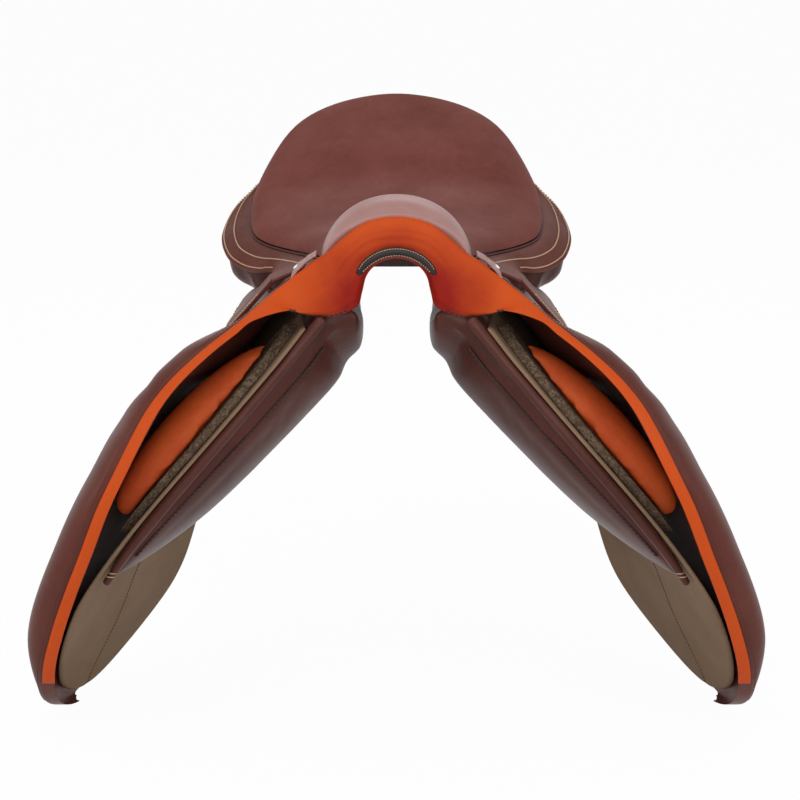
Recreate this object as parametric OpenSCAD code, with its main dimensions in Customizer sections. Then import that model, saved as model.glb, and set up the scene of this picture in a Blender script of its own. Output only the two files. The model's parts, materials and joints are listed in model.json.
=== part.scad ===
// English close-contact jumping saddle.
// +X is the rider's left (near side), -Y is the front, +Z is up.
// The datum lies in the gullet, on the centre line, at the level where the panels bear.

/* [Seat] */
// Front face of the pommel, ahead of the datum
pommel_reach = 208; // [200:1:216]
// Rear edge of the cantle, behind the datum
cantle_reach = 232; // [226:1:242]
// Height of the crown of the pommel
pommel_height = 137; // [134:1:150]
// Height of the lowest point of the seat
dip_height = 84; // [80:1:92]
// Height of the top of the cantle
cantle_height = 178; // [168:1:190]
// Width of the seat at its widest
seat_width = 284; // [270:2:296]
// Width of the seat at its waist
waist_width = 142; // [136:1:150]
// Width of the pommel head
head_width = 130; // [122:1:136]
// Height of the seat's edge beside its lowest point
seat_edge_height = 60; // [57:1:64]
// Height of the seat's edge at the pommel
head_edge_height = 80; // [76:1:84]
// Thickness of the seat leather
seat_leather = 2.4; // [1.6:0.2:3]
// Depth of the seat foam on the centre line
seat_foam_depth = 16; // [12:1:19]

/* [Tree] */
// Width of one side rail of the tree
rail_width = 28; // [22:1:32]
// Thickness of one side rail
rail_thickness = 8; // [6:0.5:9]
// Thickness of the spring steel under each rail
spring_thickness = 1.8; // [1.2:0.1:2.4]
// Width of the spring steel
spring_width = 14; // [10:1:18]
// Depth of the head arch, front to back
arch_depth = 34; // [26:1:40]
// Thickness of the steel head plate
head_plate_thickness = 3; // [2:0.5:4]
// Diameter of the tree rivets
rivet_diameter = 5; // [4:0.5:6]
// Thickness of the cantle board
cantle_board_thickness = 9; // [7:0.5:11]

/* [Stirrup bars] */
// Length of the bar that carries the stirrup leather
bar_length = 84; // [76:1:90]
// Diameter of the bar
bar_diameter = 10; // [8:0.5:11]
// Length of the hinged catch
catch_length = 13; // [10:0.5:14]
// Diameter of the catch's hinge pin
catch_pin_diameter = 3; // [2.4:0.2:3.6]

/* [Panels] */
// Width of the channel between the panels
channel_width = 60; // [54:1:66]
// Height of the channel's ceiling
channel_height = 50; // [48:1:51]
// Depth of the panel padding under the head
front_padding = 50; // [44:0.5:52]
// Depth of the panel padding at the waist
waist_padding = 36; // [30:1:42]
// Depth of the panel padding beside the channel at the rear
rear_padding = 56; // [48:1:60]
// Greatest distance of the rear panels' sides from the centre line
rear_panel_reach = 169; // [162:1:174]
// Diameter of the welt roll along the panel's front edge
welt_diameter = 10; // [8:0.5:11]

/* [Sides] */
// Lean of the sides away from the vertical near the top
side_lean = 40.7; // [40:0.1:41.4]
// How far the sides tuck back in at the bottom
side_tuck = 61; // [54:1:66]
// Toe-in of the sides at the bottom, per unit of length
toe_in = 0.47; // [0.44:0.01:0.5]
// Thickness of the sweat flap
sweat_flap_thickness = 3.6; // [3:0.2:4.2]
// Lowest point of the sweat flap, below the datum
sweat_flap_drop = 331; // [326:1:340]

/* [Flaps] */
// Lowest point of the flap, below the datum
flap_drop = 338; // [334:1:342]
// Most forward reach of the flap
flap_reach = 277; // [272:1:282]
// Width of the flap across its middle
flap_width = 372; // [364:1:376]
// Thickness of the flap leather and lining
flap_thickness = 5.4; // [4.6:0.2:6]
// Width of the facing along the flap's front edge
facing_width = 11.5; // [10:0.5:12.5]
// Depth of the padding inside the front of the flap
flap_padding = 12; // [9:0.5:13]
// Outward roll of the flap just behind its front edge, where it rolls most
flap_roll = 34; // [28:0.5:36]
// Distance between the flap and the panel side behind the rider's leg
flap_stand_off = 24; // [22:0.5:27]
// Height of the line about which the flap lifts
flap_hinge_height = -2; // [-4:0.5:0]

/* [Skirts] */
// Thickness of the skirt leather
skirt_thickness = 3.4; // [2.6:0.2:4]
// Lowest point of the skirt
skirt_low = 5; // [4:0.5:9]
// Distance of the seat band's lower edge from the seat's edge
band_width = 24; // [20:1:27]

/* [Knee blocks] */
// Length of the knee block
block_length = 148; // [140:2:152]
// Width of the knee block
block_width = 50; // [42:1:54]
// Depth of the knee block off its backing
block_depth = 21; // [16:0.5:22]
// Thickness of the hook-tape backing board
backing_thickness = 7.5; // [6:0.5:8]

/* [Girth straps] */
// Width of each girth strap
strap_width = 25; // [22:1:27]
// Thickness of each girth strap
strap_thickness = 3.5; // [3:0.1:3.8]
// Distance between the middles of the two straps
strap_spacing = 46; // [42:1:50]
// Diameter of the buckle holes
strap_hole_diameter = 5; // [4:0.2:6]
// Distance between buckle holes
strap_hole_pitch = 25; // [22:1:26]
// Number of buckle holes in each strap
strap_holes = 5; // [3:1:5]

/* [Fittings] */
// Diameter of the saddle nails' heads
nail_diameter = 11; // [8:0.5:12]
// Diameter of the dee wire
dee_wire = 3; // [2.4:0.2:3.4]
// Width of the dee
dee_width = 21; // [18:0.5:22]

/* [Hidden] */

LEFT = 1;
RIGHT = -1;
$fn = 32;
clear = 0.35;         // leather against leather
brown = [0.36, 0.21, 0.18];
dark_brown = [0.25, 0.14, 0.12];
rose_brown = [0.55, 0.42, 0.40];
orange = [0.80, 0.33, 0.13];
khaki = [0.36, 0.29, 0.24];
steel = [0.72, 0.72, 0.74];

// ---- plain helpers ----

function mix(a, b, t) = a + (b - a) * t;
function clamp(t) = max(0, min(1, t));
function ease(t) = let (c = clamp(t)) c * c * (3 - 2 * c);
function steps(a, b, n) = [for (i = [0:n]) mix(a, b, i / n)];
function power(b, e) = sign(b) * pow(abs(b), e);

// smooth curve through a few [station, value] points, level beyond its ends
function rise_at(p, i) =
  let (a = max(0, i - 1), b = min(len(p) - 1, i + 1)) (p[b][1] - p[a][1]) / (p[b][0] - p[a][0]);
function span_at(p, k, i = 0) = i >= len(p) - 2 || k <= p[i + 1][0] ? i : span_at(p, k, i + 1);
function curve(p, k) =
  let (c = max(p[0][0], min(p[len(p) - 1][0], k)), i = span_at(p, c),
       h = p[i + 1][0] - p[i][0], t = (c - p[i][0]) / h)
  (2 * t * t * t - 3 * t * t + 1) * p[i][1] + (t * t * t - 2 * t * t + t) * h * rise_at(p, i)
  + (3 * t * t - 2 * t * t * t) * p[i + 1][1] + (t * t * t - t * t) * h * rise_at(p, i + 1);

function quad(a, b, c, d) = [[a, b, c], [a, c, d]];
function turned(faces, flip) = flip ? [for (f = faces) [f[0], f[2], f[1]]] : faces;

// closed sheet between two equal grids of points
module sheet_between(outer, inner) {
  m = len(outer);
  n = len(outer[0]);
  all_points = [for (r = outer) each r, for (r = inner) each r];
  k = m * n;
  i = floor(m / 2);
  j = floor(n / 2);
  flip = cross(outer[i][j] - outer[i][j - 1], outer[i][j] - outer[i - 1][j])
    * (outer[i][j] - inner[i][j]) < 0;
  faces = [
    for (r = [0:m - 2], c = [0:n - 2])
      each quad(r * n + c, (r + 1) * n + c, (r + 1) * n + c + 1, r * n + c + 1),
    for (r = [0:m - 2], c = [0:n - 2])
      each quad(k + r * n + c, k + r * n + c + 1, k + (r + 1) * n + c + 1, k + (r + 1) * n + c),
    for (r = [0:m - 2])
      each quad(r * n, k + r * n, k + (r + 1) * n, (r + 1) * n),
    for (r = [0:m - 2])
      each quad(r * n + n - 1, (r + 1) * n + n - 1, k + (r + 1) * n + n - 1, k + r * n + n - 1),
    for (c = [0:n - 2])
      each quad(c, c + 1, k + c + 1, k + c),
    for (c = [0:n - 2])
      each quad((m - 1) * n + c, k + (m - 1) * n + c, k + (m - 1) * n + c + 1, (m - 1) * n + c + 1)
  ];
  polyhedron(all_points, turned(faces, flip));
}

// closed skin over a row of equal rings, with a flat fan at each end
module loft(rings) {
  m = len(rings);
  n = len(rings[0]);
  first = m * n;
  last = m * n + 1;
  mid_first = [for (a = [0:2]) [for (p = rings[0]) p[a]] * [for (p = rings[0]) 1] / n];
  mid_last = [for (a = [0:2]) [for (p = rings[m - 1]) p[a]] * [for (p = rings[0]) 1] / n];
  i = floor(m / 2);
  mid = [for (a = [0:2]) [for (p = rings[i]) p[a]] * [for (p = rings[0]) 1] / n];
  flip = cross(rings[i][1] - rings[i][0], rings[i][0] - rings[i - 1][0]) * (rings[i][0] - mid) < 0;
  faces = [
    for (r = [0:m - 2], c = [0:n - 1]) let (d = (c + 1) % n)
      each quad(r * n + c, (r + 1) * n + c, (r + 1) * n + d, r * n + d),
    for (c = [0:n - 1]) [first, c, (c + 1) % n],
    for (c = [0:n - 1]) [last, (m - 1) * n + (c + 1) % n, (m - 1) * n + c]
  ];
  polyhedron([for (r = rings) each r, mid_first, mid_last], turned(faces, flip));
}

module on_side(side) {
  mirror([side < 0 ? 1 : 0, 0, 0]) children();
}

// ---- seat ----

widest_at = 105;
cover_split = -152;

crown_line = [
  [-pommel_reach, pommel_height - 11], [-pommel_reach + 16, pommel_height - 1],
  [-pommel_reach + 40, pommel_height], [-100, mix(dip_height, pommel_height, 0.42)],
  [0, dip_height], [100, mix(dip_height, cantle_height, 0.2)],
  [165, mix(dip_height, cantle_height, 0.6)], [cantle_reach, cantle_height]
];
edge_line = [
  [-pommel_reach, head_edge_height + 6], [-175, head_edge_height],
  [-80, mix(seat_edge_height, head_edge_height, 0.35)], [10, seat_edge_height],
  [60, seat_edge_height + 3], [150, mix(seat_edge_height, cantle_height, 0.24)],
  [175, mix(seat_edge_height, cantle_height, 0.39)],
  [205, mix(seat_edge_height, cantle_height, 0.73)], [cantle_reach, cantle_height - 2]
];
plan_line = [
  [-pommel_reach, head_width / 2 - 3], [-140, head_width / 2 + 1], [-80, waist_width / 2],
  [-40, mix(waist_width, seat_width, 0.22) / 2], [30, mix(waist_width, seat_width, 0.75) / 2],
  [60, seat_width / 2 - 5], [widest_at, seat_width / 2], [150, seat_width / 2 - 5]
];

// how square the seat's plan is behind its widest point
rear_fullness = 2.9;
function crown_z(y) = curve(crown_line, y);
function edge_z(y) = curve(edge_line, y);
function seat_half(y) =
  y < widest_at ? curve(plan_line, y)
  : seat_width / 2 * sqrt(max(0, 1 - pow((y - widest_at) / (cantle_reach - widest_at), rear_fullness)));
// how square the crown's section is at the pommel, in the middle and behind
function fullness(y) = mix(mix(2, 3, ease((y + 190) / 100)), 4, ease((y - 60) / 80));
function dome(x, y, half, height) =
  edge_z(y) + height * sqrt(max(0, 1 - pow(min(1, abs(x) / half), fullness(y))));
function dome_row(y, cut, drop, n) =
  let (half = seat_half(y) - cut, height = max(1.5, crown_z(y) - edge_z(y) - drop))
  [for (j = [0:n]) let (x = half * sin(-90 + 180 * j / n)) [x, y, dome(x, y, half, height)]];

seat_stations = concat(steps(cover_split + 0.4, widest_at, 11),
  [for (i = [1:7]) widest_at + (cantle_reach - widest_at) * sin(i * 12)]);
foam_in = seat_leather + clear;
foam_floor_in = seat_leather + 4;
foam_floor_drop = seat_leather + seat_foam_depth;
function foam_floor(x, y) =
  dome(x, y, seat_half(y) - foam_floor_in, max(1.5, crown_z(y) - edge_z(y) - foam_floor_drop));

module seat_cover() {
  color(brown) sheet_between([for (y = seat_stations) dome_row(y, 0, 0, 18)],
    [for (y = seat_stations) dome_row(y, seat_leather, seat_leather, 18)]);
}

module pommel_cover() {
  rows = steps(-pommel_reach, cover_split, 6);
  color(rose_brown) sheet_between([for (y = rows) dome_row(y, 0, 0, 18)],
    [for (y = rows) dome_row(y, seat_leather, seat_leather, 18)]);
}

foam_stations = [for (y = seat_stations) if (crown_z(y) - edge_z(y) > 6) y];

module seat_foam() {
  color([0.85, 0.8, 0.6]) sheet_between([for (y = foam_stations) dome_row(y, foam_in, foam_in, 18)],
    [for (y = foam_stations) dome_row(y, foam_floor_in, foam_floor_drop, 18)]);
}

// ---- tree ----

rivet_grip = 8;
bar_plate = 3.5;
lining_half = channel_width / 2 + 8;
lining_front_half = 29;
lining_rise = 40;
lining_thickness = 1.6;

web_thickness = 1.5;
web_inner = 4;
web_outer = 46;
web_gap = 0.9;
web_back = 190;
function web_top(x, y) = foam_floor(x, y) - web_gap;

module seat_webs() {
  rows = [for (y = seat_stations) if (y < web_back) y];
  across = steps(web_inner, web_outer, 4);
  color([0.8, 0.76, 0.66]) for (side = [LEFT, RIGHT]) on_side(side)
    sheet_between([for (y = rows) [for (x = across) [x, y, web_top(x, y)]]],
      [for (y = rows) [for (x = across) [x, y, web_top(x, y) - web_thickness]]]);
}

rivet_head = 1.2;
arch_front = -pommel_reach + rivet_head + clear;
plate_front = arch_front + arch_depth + clear;
facing_leather = 3;
board_in = clear + facing_leather + clear;

// the seat's rear rim, drawn inward by a distance; x across gives y
function rim_y(x, in) =
  widest_at + (cantle_reach - widest_at - in)
  * pow(max(0, 1 - pow(x / (seat_width / 2 - in), 2)), 1 / rear_fullness);

rail_line = [[-148, 44], [-60, 44], [40, 52], [130, 70], [206, 78]];
rail_front = plate_front + head_plate_thickness + clear;
rail_back = 206;
function rail_x(y) = curve(rail_line, y);
rail_head_top = 72;
rail_stations = steps(rail_front, rail_back, 14);
function rail_top(y) = -11.5 * ease((y - 120) / 50) +
  min(mix(rail_head_top, cantle_height, ease((y + 60) / 60)),
    min(foam_floor(rail_x(y) - rail_width / 2, y), foam_floor(rail_x(y) + rail_width / 2, y))
    - web_thickness - web_gap - clear);
function rail_end(x, y) = min(y, rim_y(x, board_in + cantle_board_thickness) - clear);
function bar_ring(x, y, top, width, thickness) =
  let (a = x - width / 2, b = x + width / 2)
  [[a, rail_end(a, y), top], [b, rail_end(b, y), top],
   [b, rail_end(b, y), top - thickness], [a, rail_end(a, y), top - thickness]];

bar_rivets_at = [-132, -74];
module at_bar_rivets() {
  for (y = bar_rivets_at)
    translate([rail_x(y) + rail_width / 2, y, rail_top(y) - rail_thickness / 2 - 0.5]) children();
}

module tree_rail(side) {
  color([0.75, 0.6, 0.4]) on_side(side) difference() {
    loft([for (y = rail_stations) bar_ring(rail_x(y), y, rail_top(y), rail_width, rail_thickness)]);
    at_bar_rivets() translate([-rivet_grip, 0, 0]) rotate([0, 90, 0])
      cylinder(d = rivet_diameter - 0.6, h = 2 * rivet_grip);
  }
}

module rail_spring(side) {
  color(steel) on_side(side)
    loft([for (i = [0:len(rail_stations) - 2]) let (y = rail_stations[i])
      bar_ring(rail_x(y), y, rail_top(y) - rail_thickness - clear, spring_width, spring_thickness)]);
}

// the arch: two legs and a crown, drawn in the X-Z plane and set across the saddle
arch_crown = pommel_height - 21;
arch_inner_crown = 92;
arch_foot = 53;
arch_half = head_width / 2 - 12;
arch_bore = 34;
module arch_outline(crown, half, inner_crown, bore) {
  difference() {
    union() {
      intersection() {
        translate([0, crown - half]) circle(r = half, $fn = 64);
        translate([-half, arch_foot]) square(2 * half);
      }
      translate([-half, arch_foot]) square([2 * half, crown - half - arch_foot]);
    }
    translate([0, inner_crown - bore]) circle(r = bore, $fn = 64);
    translate([-bore, arch_foot - 1]) square([2 * bore, inner_crown - bore - arch_foot + 1]);
  }
}
module across_saddle(front, depth) {
  translate([0, front + depth, 0]) rotate([90, 0, 0]) linear_extrude(height = depth) children();
}

rivet_angles = [25, 65, 115, 155];
rivet_centre = arch_crown - arch_half;
rivet_ring = (arch_half + arch_bore) / 2 + 1;
module at_head_rivets() {
  for (a = rivet_angles)
    translate([rivet_ring * cos(a), 0, rivet_centre + rivet_ring * sin(a)]) children();
}

module head_arch() {
  color([0.75, 0.6, 0.4]) difference() {
    across_saddle(arch_front, arch_depth)
      arch_outline(arch_crown, arch_half, arch_inner_crown, arch_bore);
    at_head_rivets() rotate([90, 0, 0])
      cylinder(d = rivet_diameter + 2 * clear, h = 4 * pommel_reach, center = true);
  }
}

module head_plate() {
  color(steel) difference() {
    across_saddle(plate_front, head_plate_thickness)
      arch_outline(arch_crown - 3, arch_half - 3, arch_inner_crown - 1, arch_bore - 1);
    at_head_rivets() rotate([90, 0, 0])
      cylinder(d = rivet_diameter + 2 * clear, h = 4 * pommel_reach, center = true);
  }
}

module tree_rivets() {
  grip = arch_depth + clear + head_plate_thickness;
  color(steel) {
    at_head_rivets() translate([0, arch_front, 0]) rotate([-90, 0, 0]) {
      cylinder(d = rivet_diameter, h = grip);
      translate([0, 0, -rivet_head]) cylinder(d = rivet_diameter + 4, h = rivet_head);
    }
    for (side = [LEFT, RIGHT]) on_side(side) at_bar_rivets() translate([1 - rivet_grip, 0, 0])
      rotate([0, 90, 0]) {
        cylinder(d = rivet_diameter - 1, h = rivet_grip + bar_plate);
        translate([0, 0, rivet_grip + bar_plate])
          cylinder(d = rivet_diameter + 1, h = rivet_head);
      }
  }
}

board_low = 96;
board_arc = 46;
module cantle_board() {
  angles = steps(-board_arc, board_arc, 16);
  function board_point(a, in, low) =
    let (x = (seat_width / 2 - in) * sin(a), y = rim_y(x, in))
    [x, y, low ? board_low : edge_z(y) - 2];
  function board_wall(in) =
    [for (a = angles) [board_point(a, in, false), board_point(a, in, true)]];
  color([0.75, 0.6, 0.4])
    sheet_between(board_wall(board_in), board_wall(board_in + cantle_board_thickness));
}

facing_arc = 66;
module cantle_facing() {
  angles = steps(-facing_arc, facing_arc, 24);
  function facing_point(a, in, t) =
    let (x = (seat_width / 2 - in) * sin(a), y = rim_y(x, in),
         v = clamp((abs(x) - panel_root) / (curve(rear_side, y) - panel_root)))
    [x, y, mix(edge_z(y) - 0.9, channel_height + curve(rear_rise, y) * v * v + clear - 0.1, t)];
  function facing_wall(in) = [for (a = angles) [for (t = [0:0.25:1]) facing_point(a, in, t)]];
  color(brown) sheet_between(facing_wall(clear), facing_wall(clear + facing_leather));
}

// felt over the gullet: level behind the waist, rising between the rails to the head
module gullet_lining() {
  function lining_z(y) = channel_height + lining_rise * ease((-30 - y) / 150);
  function lining_row(y, t) = let (h = mix(lining_half, lining_front_half, ease((-20 - y) / 50)))
    [for (x = [-h, 0, h]) [x, y, lining_z(y) + t]];
  rows = steps(rail_front, rail_back, 20);
  color(khaki) sheet_between([for (y = rows) lining_row(y, lining_thickness)],
    [for (y = rows) lining_row(y, 0)]);
}

// ---- sides: every side layer lies at a stated distance outside this surface ----

side_root_x = 60;
side_root_z = 48;
side_drop = 393;
side_front = -220;
function toe(z) = toe_in * ease((20 - z) / 300) - 0.07;
function side_x(z, y) =
  let (d = side_root_z - z)
  side_root_x + d * tan(side_lean) - side_tuck * pow(max(0, d) / side_drop, 4)
  - toe(z) * (y - side_front);
level = 1 / cos(side_lean);   // level width of a layer that is one unit thick
function off_side(z, y, out) = [side_x(z, y) + out, y, z];
// direction square to the side, pointing outward
function side_normal(z, y) =
  let (n = cross([side_x(z, y + 1) - side_x(z, y), 1, 0], [side_x(z + 1, y) - side_x(z, y), 0, 1]))
  n / norm(n);
function cap(z, top, drop) = z > top ? 1 : sqrt(max(0, 1 - pow((top - z) / (drop + top), 2)));
// rows of heights that crowd together towards a rounded lower end
function rounded_rows(high, top, drop, n, k) =
  concat(steps(high, top, n), [for (i = [1:k]) top - (drop + top) * sin(i * 86 / k)]);

// ---- sweat flaps ----

sweat_front = [[-334, -212], [-290, -204], [-251, -206], [-204, -220], [-100, -236], [0, -228],
  [30, -216]];
sweat_rear = [[-334, 0], [-282, 24], [-204, 12], [-100, 30], [30, 44]];
sweat_high = 30;
sweat_cap = -204;
function sweat_y(z, c) =
  let (f = curve(sweat_front, z), r = curve(sweat_rear, z), m = (f + r) / 2)
  m + (r - f) * (c - 0.5) * cap(z, sweat_cap, sweat_flap_drop);

module sweat_flap(side) {
  rows = rounded_rows(sweat_high, sweat_cap, sweat_flap_drop, 9, 7);
  function face(out) = [for (z = rows) [for (c = steps(0, 1, 8)) off_side(z, sweat_y(z, c), out)]];
  color(khaki) on_side(side) sheet_between(face(sweat_flap_thickness * level), face(0));
}

// ---- flaps ----

flap_front = [[-344, -232], [-281, -229], [-232, -236], [-165, -262], [-94, -flap_reach],
  [-36, -flap_reach + 9], [17, -flap_reach + 32], [40, -pommel_reach - 20],
  [53, -pommel_reach - 10.5], [63, -pommel_reach - 2.5], [72, -pommel_reach], [90, -pommel_reach]];
flap_rear = [for (p = [[-344, -25], [-281, 30], [-232, 52], [-165, 75], [-94, 95], [0, 98]])
  [p[0], p[1] + flap_width - 372]];
flap_cap = -215;
function flap_front_y(z) =
  let (f = curve(flap_front, z), r = curve(flap_rear, z))
  (f + r) / 2 - (r - f) / 2 * cap(z, flap_cap, flap_drop);
function flap_y(z, c) =
  let (f = flap_front_y(z), m = (curve(flap_front, z) + curve(flap_rear, z)) / 2)
  mix(f, 2 * m - f, pow(c, 1.5));

// how far the flap's front edge stands outside the side surface, by height
front_stand = [[-300, 2], [-232, 7.5], [-165, 24], [-94, 57], [-36, 82], [-9, 86], [17, 79],
  [40, 65], [64, 53], [90, 42]];
rear_stand = [for (p = [[-344, -10], [-230, -1], [-60, 2], [0, 0], [60, -4]])
  [p[0], p[1] + flap_stand_off]];
fall_back = [[-120, 240], [-60, 230], [0, 120], [60, 100]];
roll_share = [[-344, 0.35], [-322, 0.352], [-300, 0.5], [-240, 1], [-160, 0.94], [-90, 0.65], [-48, 0.47], [-12, 0]];
function roll_at(z) = z > -12 ? 0 : flap_roll * max(0, curve(roll_share, z));
function flap_out(z, y) =
  let (d = y - flap_front_y(z), back = curve(rear_stand, z), edge = curve(front_stand, z),
       full = edge + roll_at(z) * sqrt(1 - pow(1 - min(1, max(0, d) / 40), 2)))
  back + (full - back) * (1 - ease((d - 30 * ease((-z - 12) / 36)) / curve(fall_back, z)));
padding_at = [[-270, 0], [-230, 0.1], [-180, 0.8], [-120, 1], [-20, 0.8], [20, 0]];
function flap_depth(z, y) =
  let (d = max(0, y - flap_front_y(z)))
  mix(facing_width, flap_thickness * level, ease(d / 28))
  + flap_padding * curve(padding_at, z) * pow(sin(180 * sqrt(min(1, d / 170))), 0.8);

// the flap lifts about a straight line outside it, from front to rear; its upper edge is cut
// square to the side below that line, so that lifting only ever moves it away from the straps
hinge_ends = [-258, 98];
function hinge_x(y) =
  let (h = flap_hinge_height, a = hinge_ends[0], b = hinge_ends[1],
       front = side_x(h, a) + curve(front_stand, h) + 2.5,
       rear = side_x(h, b) + curve(rear_stand, h) + 3)
  mix(front, rear, (y - a) / (b - a));
function cut_drop(y) =
  let (h = flap_hinge_height, k = tan(side_lean),
       away = hinge_x(y) - side_x(h, y) - flap_out(h, y) + flap_depth(h, y))
  ease((y + 235) / 55) * away * k / (1 + k * k);
function sunk(z, y) =
  let (above = z - flap_hinge_height)
  z - cut_drop(y) * clamp(above > 0 ? 1 - above / 28 : 1 + above / 110);

module flap_part(rows, columns, rear) {
  function face(inward) = [for (z = rows) [for (c = columns)
    let (y = rear(z, c), q = sunk(z, y)) off_side(q, y, flap_out(q, y) - inward * flap_depth(q, y))]];
  sheet_between(face(0), face(1));
}

hinge_gap = 0.3;
module flap(side) {
  rows = rounded_rows(flap_hinge_height - hinge_gap, flap_cap, flap_drop, 11, 8);
  color(brown) on_side(side) flap_part(rows, steps(0, 1, 13), function (z, c) flap_y(z, c));
}

// the fixed top of the flap: full width low down, only the front strap higher up
flap_top_high = 74;
flap_top_end = [[-2, 98], [10, 78], [20, 30], [26, -60], [31, -150], [36, -178], [42, -193],
  [74, -193]];
behind_facing = 3.2;
function flap_top_y(z, c) =
  mix(flap_front_y(z) + behind_facing * ease((z - 26) / 12), curve(flap_top_end, z), pow(c, 1.5));
module flap_top(side) {
  rows = concat(steps(flap_hinge_height + hinge_gap, 30, 4), [33, 36, 39, 44, 54, 64, flap_top_high]);
  color(brown) on_side(side) flap_part(rows, steps(0, 1, 13), function (z, c) flap_top_y(z, c));
}

// orange facing: a strip along the flap's front edge, continued over the head
strip_thickness = 2.6;
function strip_pair(z, front) =
  let (y = flap_front_y(z) - clear - (front ? strip_thickness : 0), out = flap_out(z, flap_front_y(z)))
  [off_side(z, y, out - 0.3), off_side(z, y, out - facing_width + 0.3)];

module flap_facing(side) {
  rows = steps(flap_hinge_height - hinge_gap, -292, 18);
  color(orange) on_side(side)
    sheet_between([for (z = rows) strip_pair(z, true)], [for (z = rows) strip_pair(z, false)]);
}

head_thickness = 6.5;
arch_opening = 29;
arch_centre = 60;
// inner edge of the facing beside the arch, from the crown of the opening down and outward
head_inner = [[0, arch_centre + arch_opening], [15, 84.8], [25, 74.7], [29, 60], [33, 48], [50, 39.5],
  [62, 38.5], [77, 41], [90, 46.5]];
head_outer_z = [88, 80, 72, 62, 52];
// outer edge over the pommel: share of the half width, and drop below the crown
head_shoulder = [[0, 0.5], [0.42, 5.5], [0.75, 20], [0.94, 31]];
function head_outer(i) =
  i < 4 ? [seat_half(-pommel_reach) * head_shoulder[i][0],
           crown_z(-pommel_reach) - head_shoulder[i][1]]
  : let (z = head_outer_z[i - 4]) [side_x(z, -pommel_reach) + curve(front_stand, z), z];
function head_y(i, front) =
  (i < 4 ? -pommel_reach : flap_front_y(head_outer(i)[1])) - clear
  - (front ? mix(head_thickness, strip_thickness, ease((i - 4) / 4)) : 0);
function head_row(i, front) =
  let (o = head_outer(i), n = head_inner[i], y = head_y(i, front))
  [[o[0], y, o[1]], [mix(o[0], n[0], 0.5), y - (front ? 1 : 0), mix(o[1], n[1], 0.5)],
   [n[0], y, n[1]]];
function strap_row(z, front) =
  let (p = strip_pair(z, front)) [p[0], (p[0] + p[1]) / 2, p[1]];
function head_side(front, side) =
  [for (r = concat([for (i = [0:8]) head_row(i, front)],
    [for (z = steps(40, flap_hinge_height + hinge_gap, 4)) strap_row(z, front)]))
    [for (p = r) [side * p[0], p[1], p[2]]]];
function reversed(v) = [for (i = [len(v) - 1:-1:0]) v[i]];
function without_first(v) = [for (i = [1:len(v) - 1]) v[i]];
function head_strip(front) =
  concat(reversed(head_side(front, RIGHT)), without_first(head_side(front, LEFT)));

module head_facing() {
  color(orange) sheet_between(head_strip(true), head_strip(false));
}

badge_thickness = 1.2;
module arch_badge() {
  color([0.1, 0.1, 0.1])
    across_saddle(-pommel_reach - clear - head_thickness - 1 - clear - badge_thickness, badge_thickness)
      translate([0, arch_centre]) difference() {
        circle(r = arch_opening + 9, $fn = 64);
        circle(r = arch_opening + 3.5, $fn = 64);
        translate([0, -3 * arch_opening]) square(2 * (arch_opening + 10) + 40, center = true);
        for (m = [0, 1]) mirror([m, 0]) rotate(28) translate([0, -100]) square([100, 100]);
      }
}

// ---- seat bands and skirts ----

skirt_front_y = -172;
skirt_rear_y = -21;
skirt_hinge_z = 41;
function skirt_line(y) = skirt_hinge_z - 0.15 * (y - skirt_rear_y);
skirt_swell = [[-190, 129], [-140, 125], [-60, 120], [-21, 114]];
function skirt_x(z, y) = curve(skirt_swell, y) + 0.87 * (skirt_hinge_z - z);
skirt_low_line = [for (p = [[-172, 58], [-168, 43], [-155, 20], [-137, 4], [-100, 0], [-60, 0],
  [-35, 3], [-21, 10]]) [p[0], p[1] + skirt_low]];

module skirt(side) {
  columns = [for (c = steps(0, 1, 12)) mix(skirt_front_y, skirt_rear_y, 0.5 - 0.5 * cos(180 * c))];
  function point(y, t, in) =
    let (z = mix(skirt_line(y) - hinge_gap, curve(skirt_low_line, y), t)) [skirt_x(z, y) - in, y, z];
  function face(in) = [for (y = columns) [for (t = steps(0, 1, 6)) point(y, t, in)]];
  color(brown) on_side(side) sheet_between(face(0), face(skirt_thickness * level));
}

band_front = -190;
band_back = 166;
band_share = [[-21, 0.55], [20, 0.68], [50, 0.8], [90, 0.95], [125, 0.85], [166, 0.36]];
band_fall = [[-21, 0.86], [20, 1.04], [50, 0.96], [90, 0.8], [125, 0.8], [166, 0.3]];
function band_inner(y) = [seat_half(y) + 0.6, edge_z(y) - 1];
function band_outer(y) =
  let (back = [seat_half(y) + band_width * curve(band_share, y),
               edge_z(y) - band_width * curve(band_fall, y)],
       front = [skirt_x(skirt_line(y), y), skirt_line(y) + hinge_gap],
       t = ease((y - skirt_rear_y - 1) / 26))
  mix(front, back, t);
function band_point(y, t, in) =
  let (a = band_inner(y), b = band_outer(y), d = (b - a) / norm(b - a), p = mix(a, b, t),
       q = [p[0] + in * d[1], p[1] - in * d[0] + 1.5 * sin(180 * t)])
  [q[0], y, y < 0 ? max(q[1], skirt_line(y) + hinge_gap) : q[1]];

nail_y = -175;
nail_across = 0.42;
module at_nails() {
  p = band_point(nail_y, nail_across, 0);
  d = band_outer(nail_y) - band_inner(nail_y);
  for (side = [LEFT, RIGHT]) on_side(side)
    translate([p[0], nail_y, p[2]]) rotate([0, 90 - atan2(d[0], -d[1]), 0]) children();
}

module seat_band(side) {
  columns = steps(band_front, band_back, 24);
  function face(in) = [for (y = columns) [for (t = steps(0, 1, 4)) band_point(y, t, in)]];
  color(brown) difference() {
    on_side(side) sheet_between(face(0), face(skirt_thickness));
    at_nails() cylinder(d = nail_shank + 0.6, h = 40, center = true);
  }
}

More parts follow.
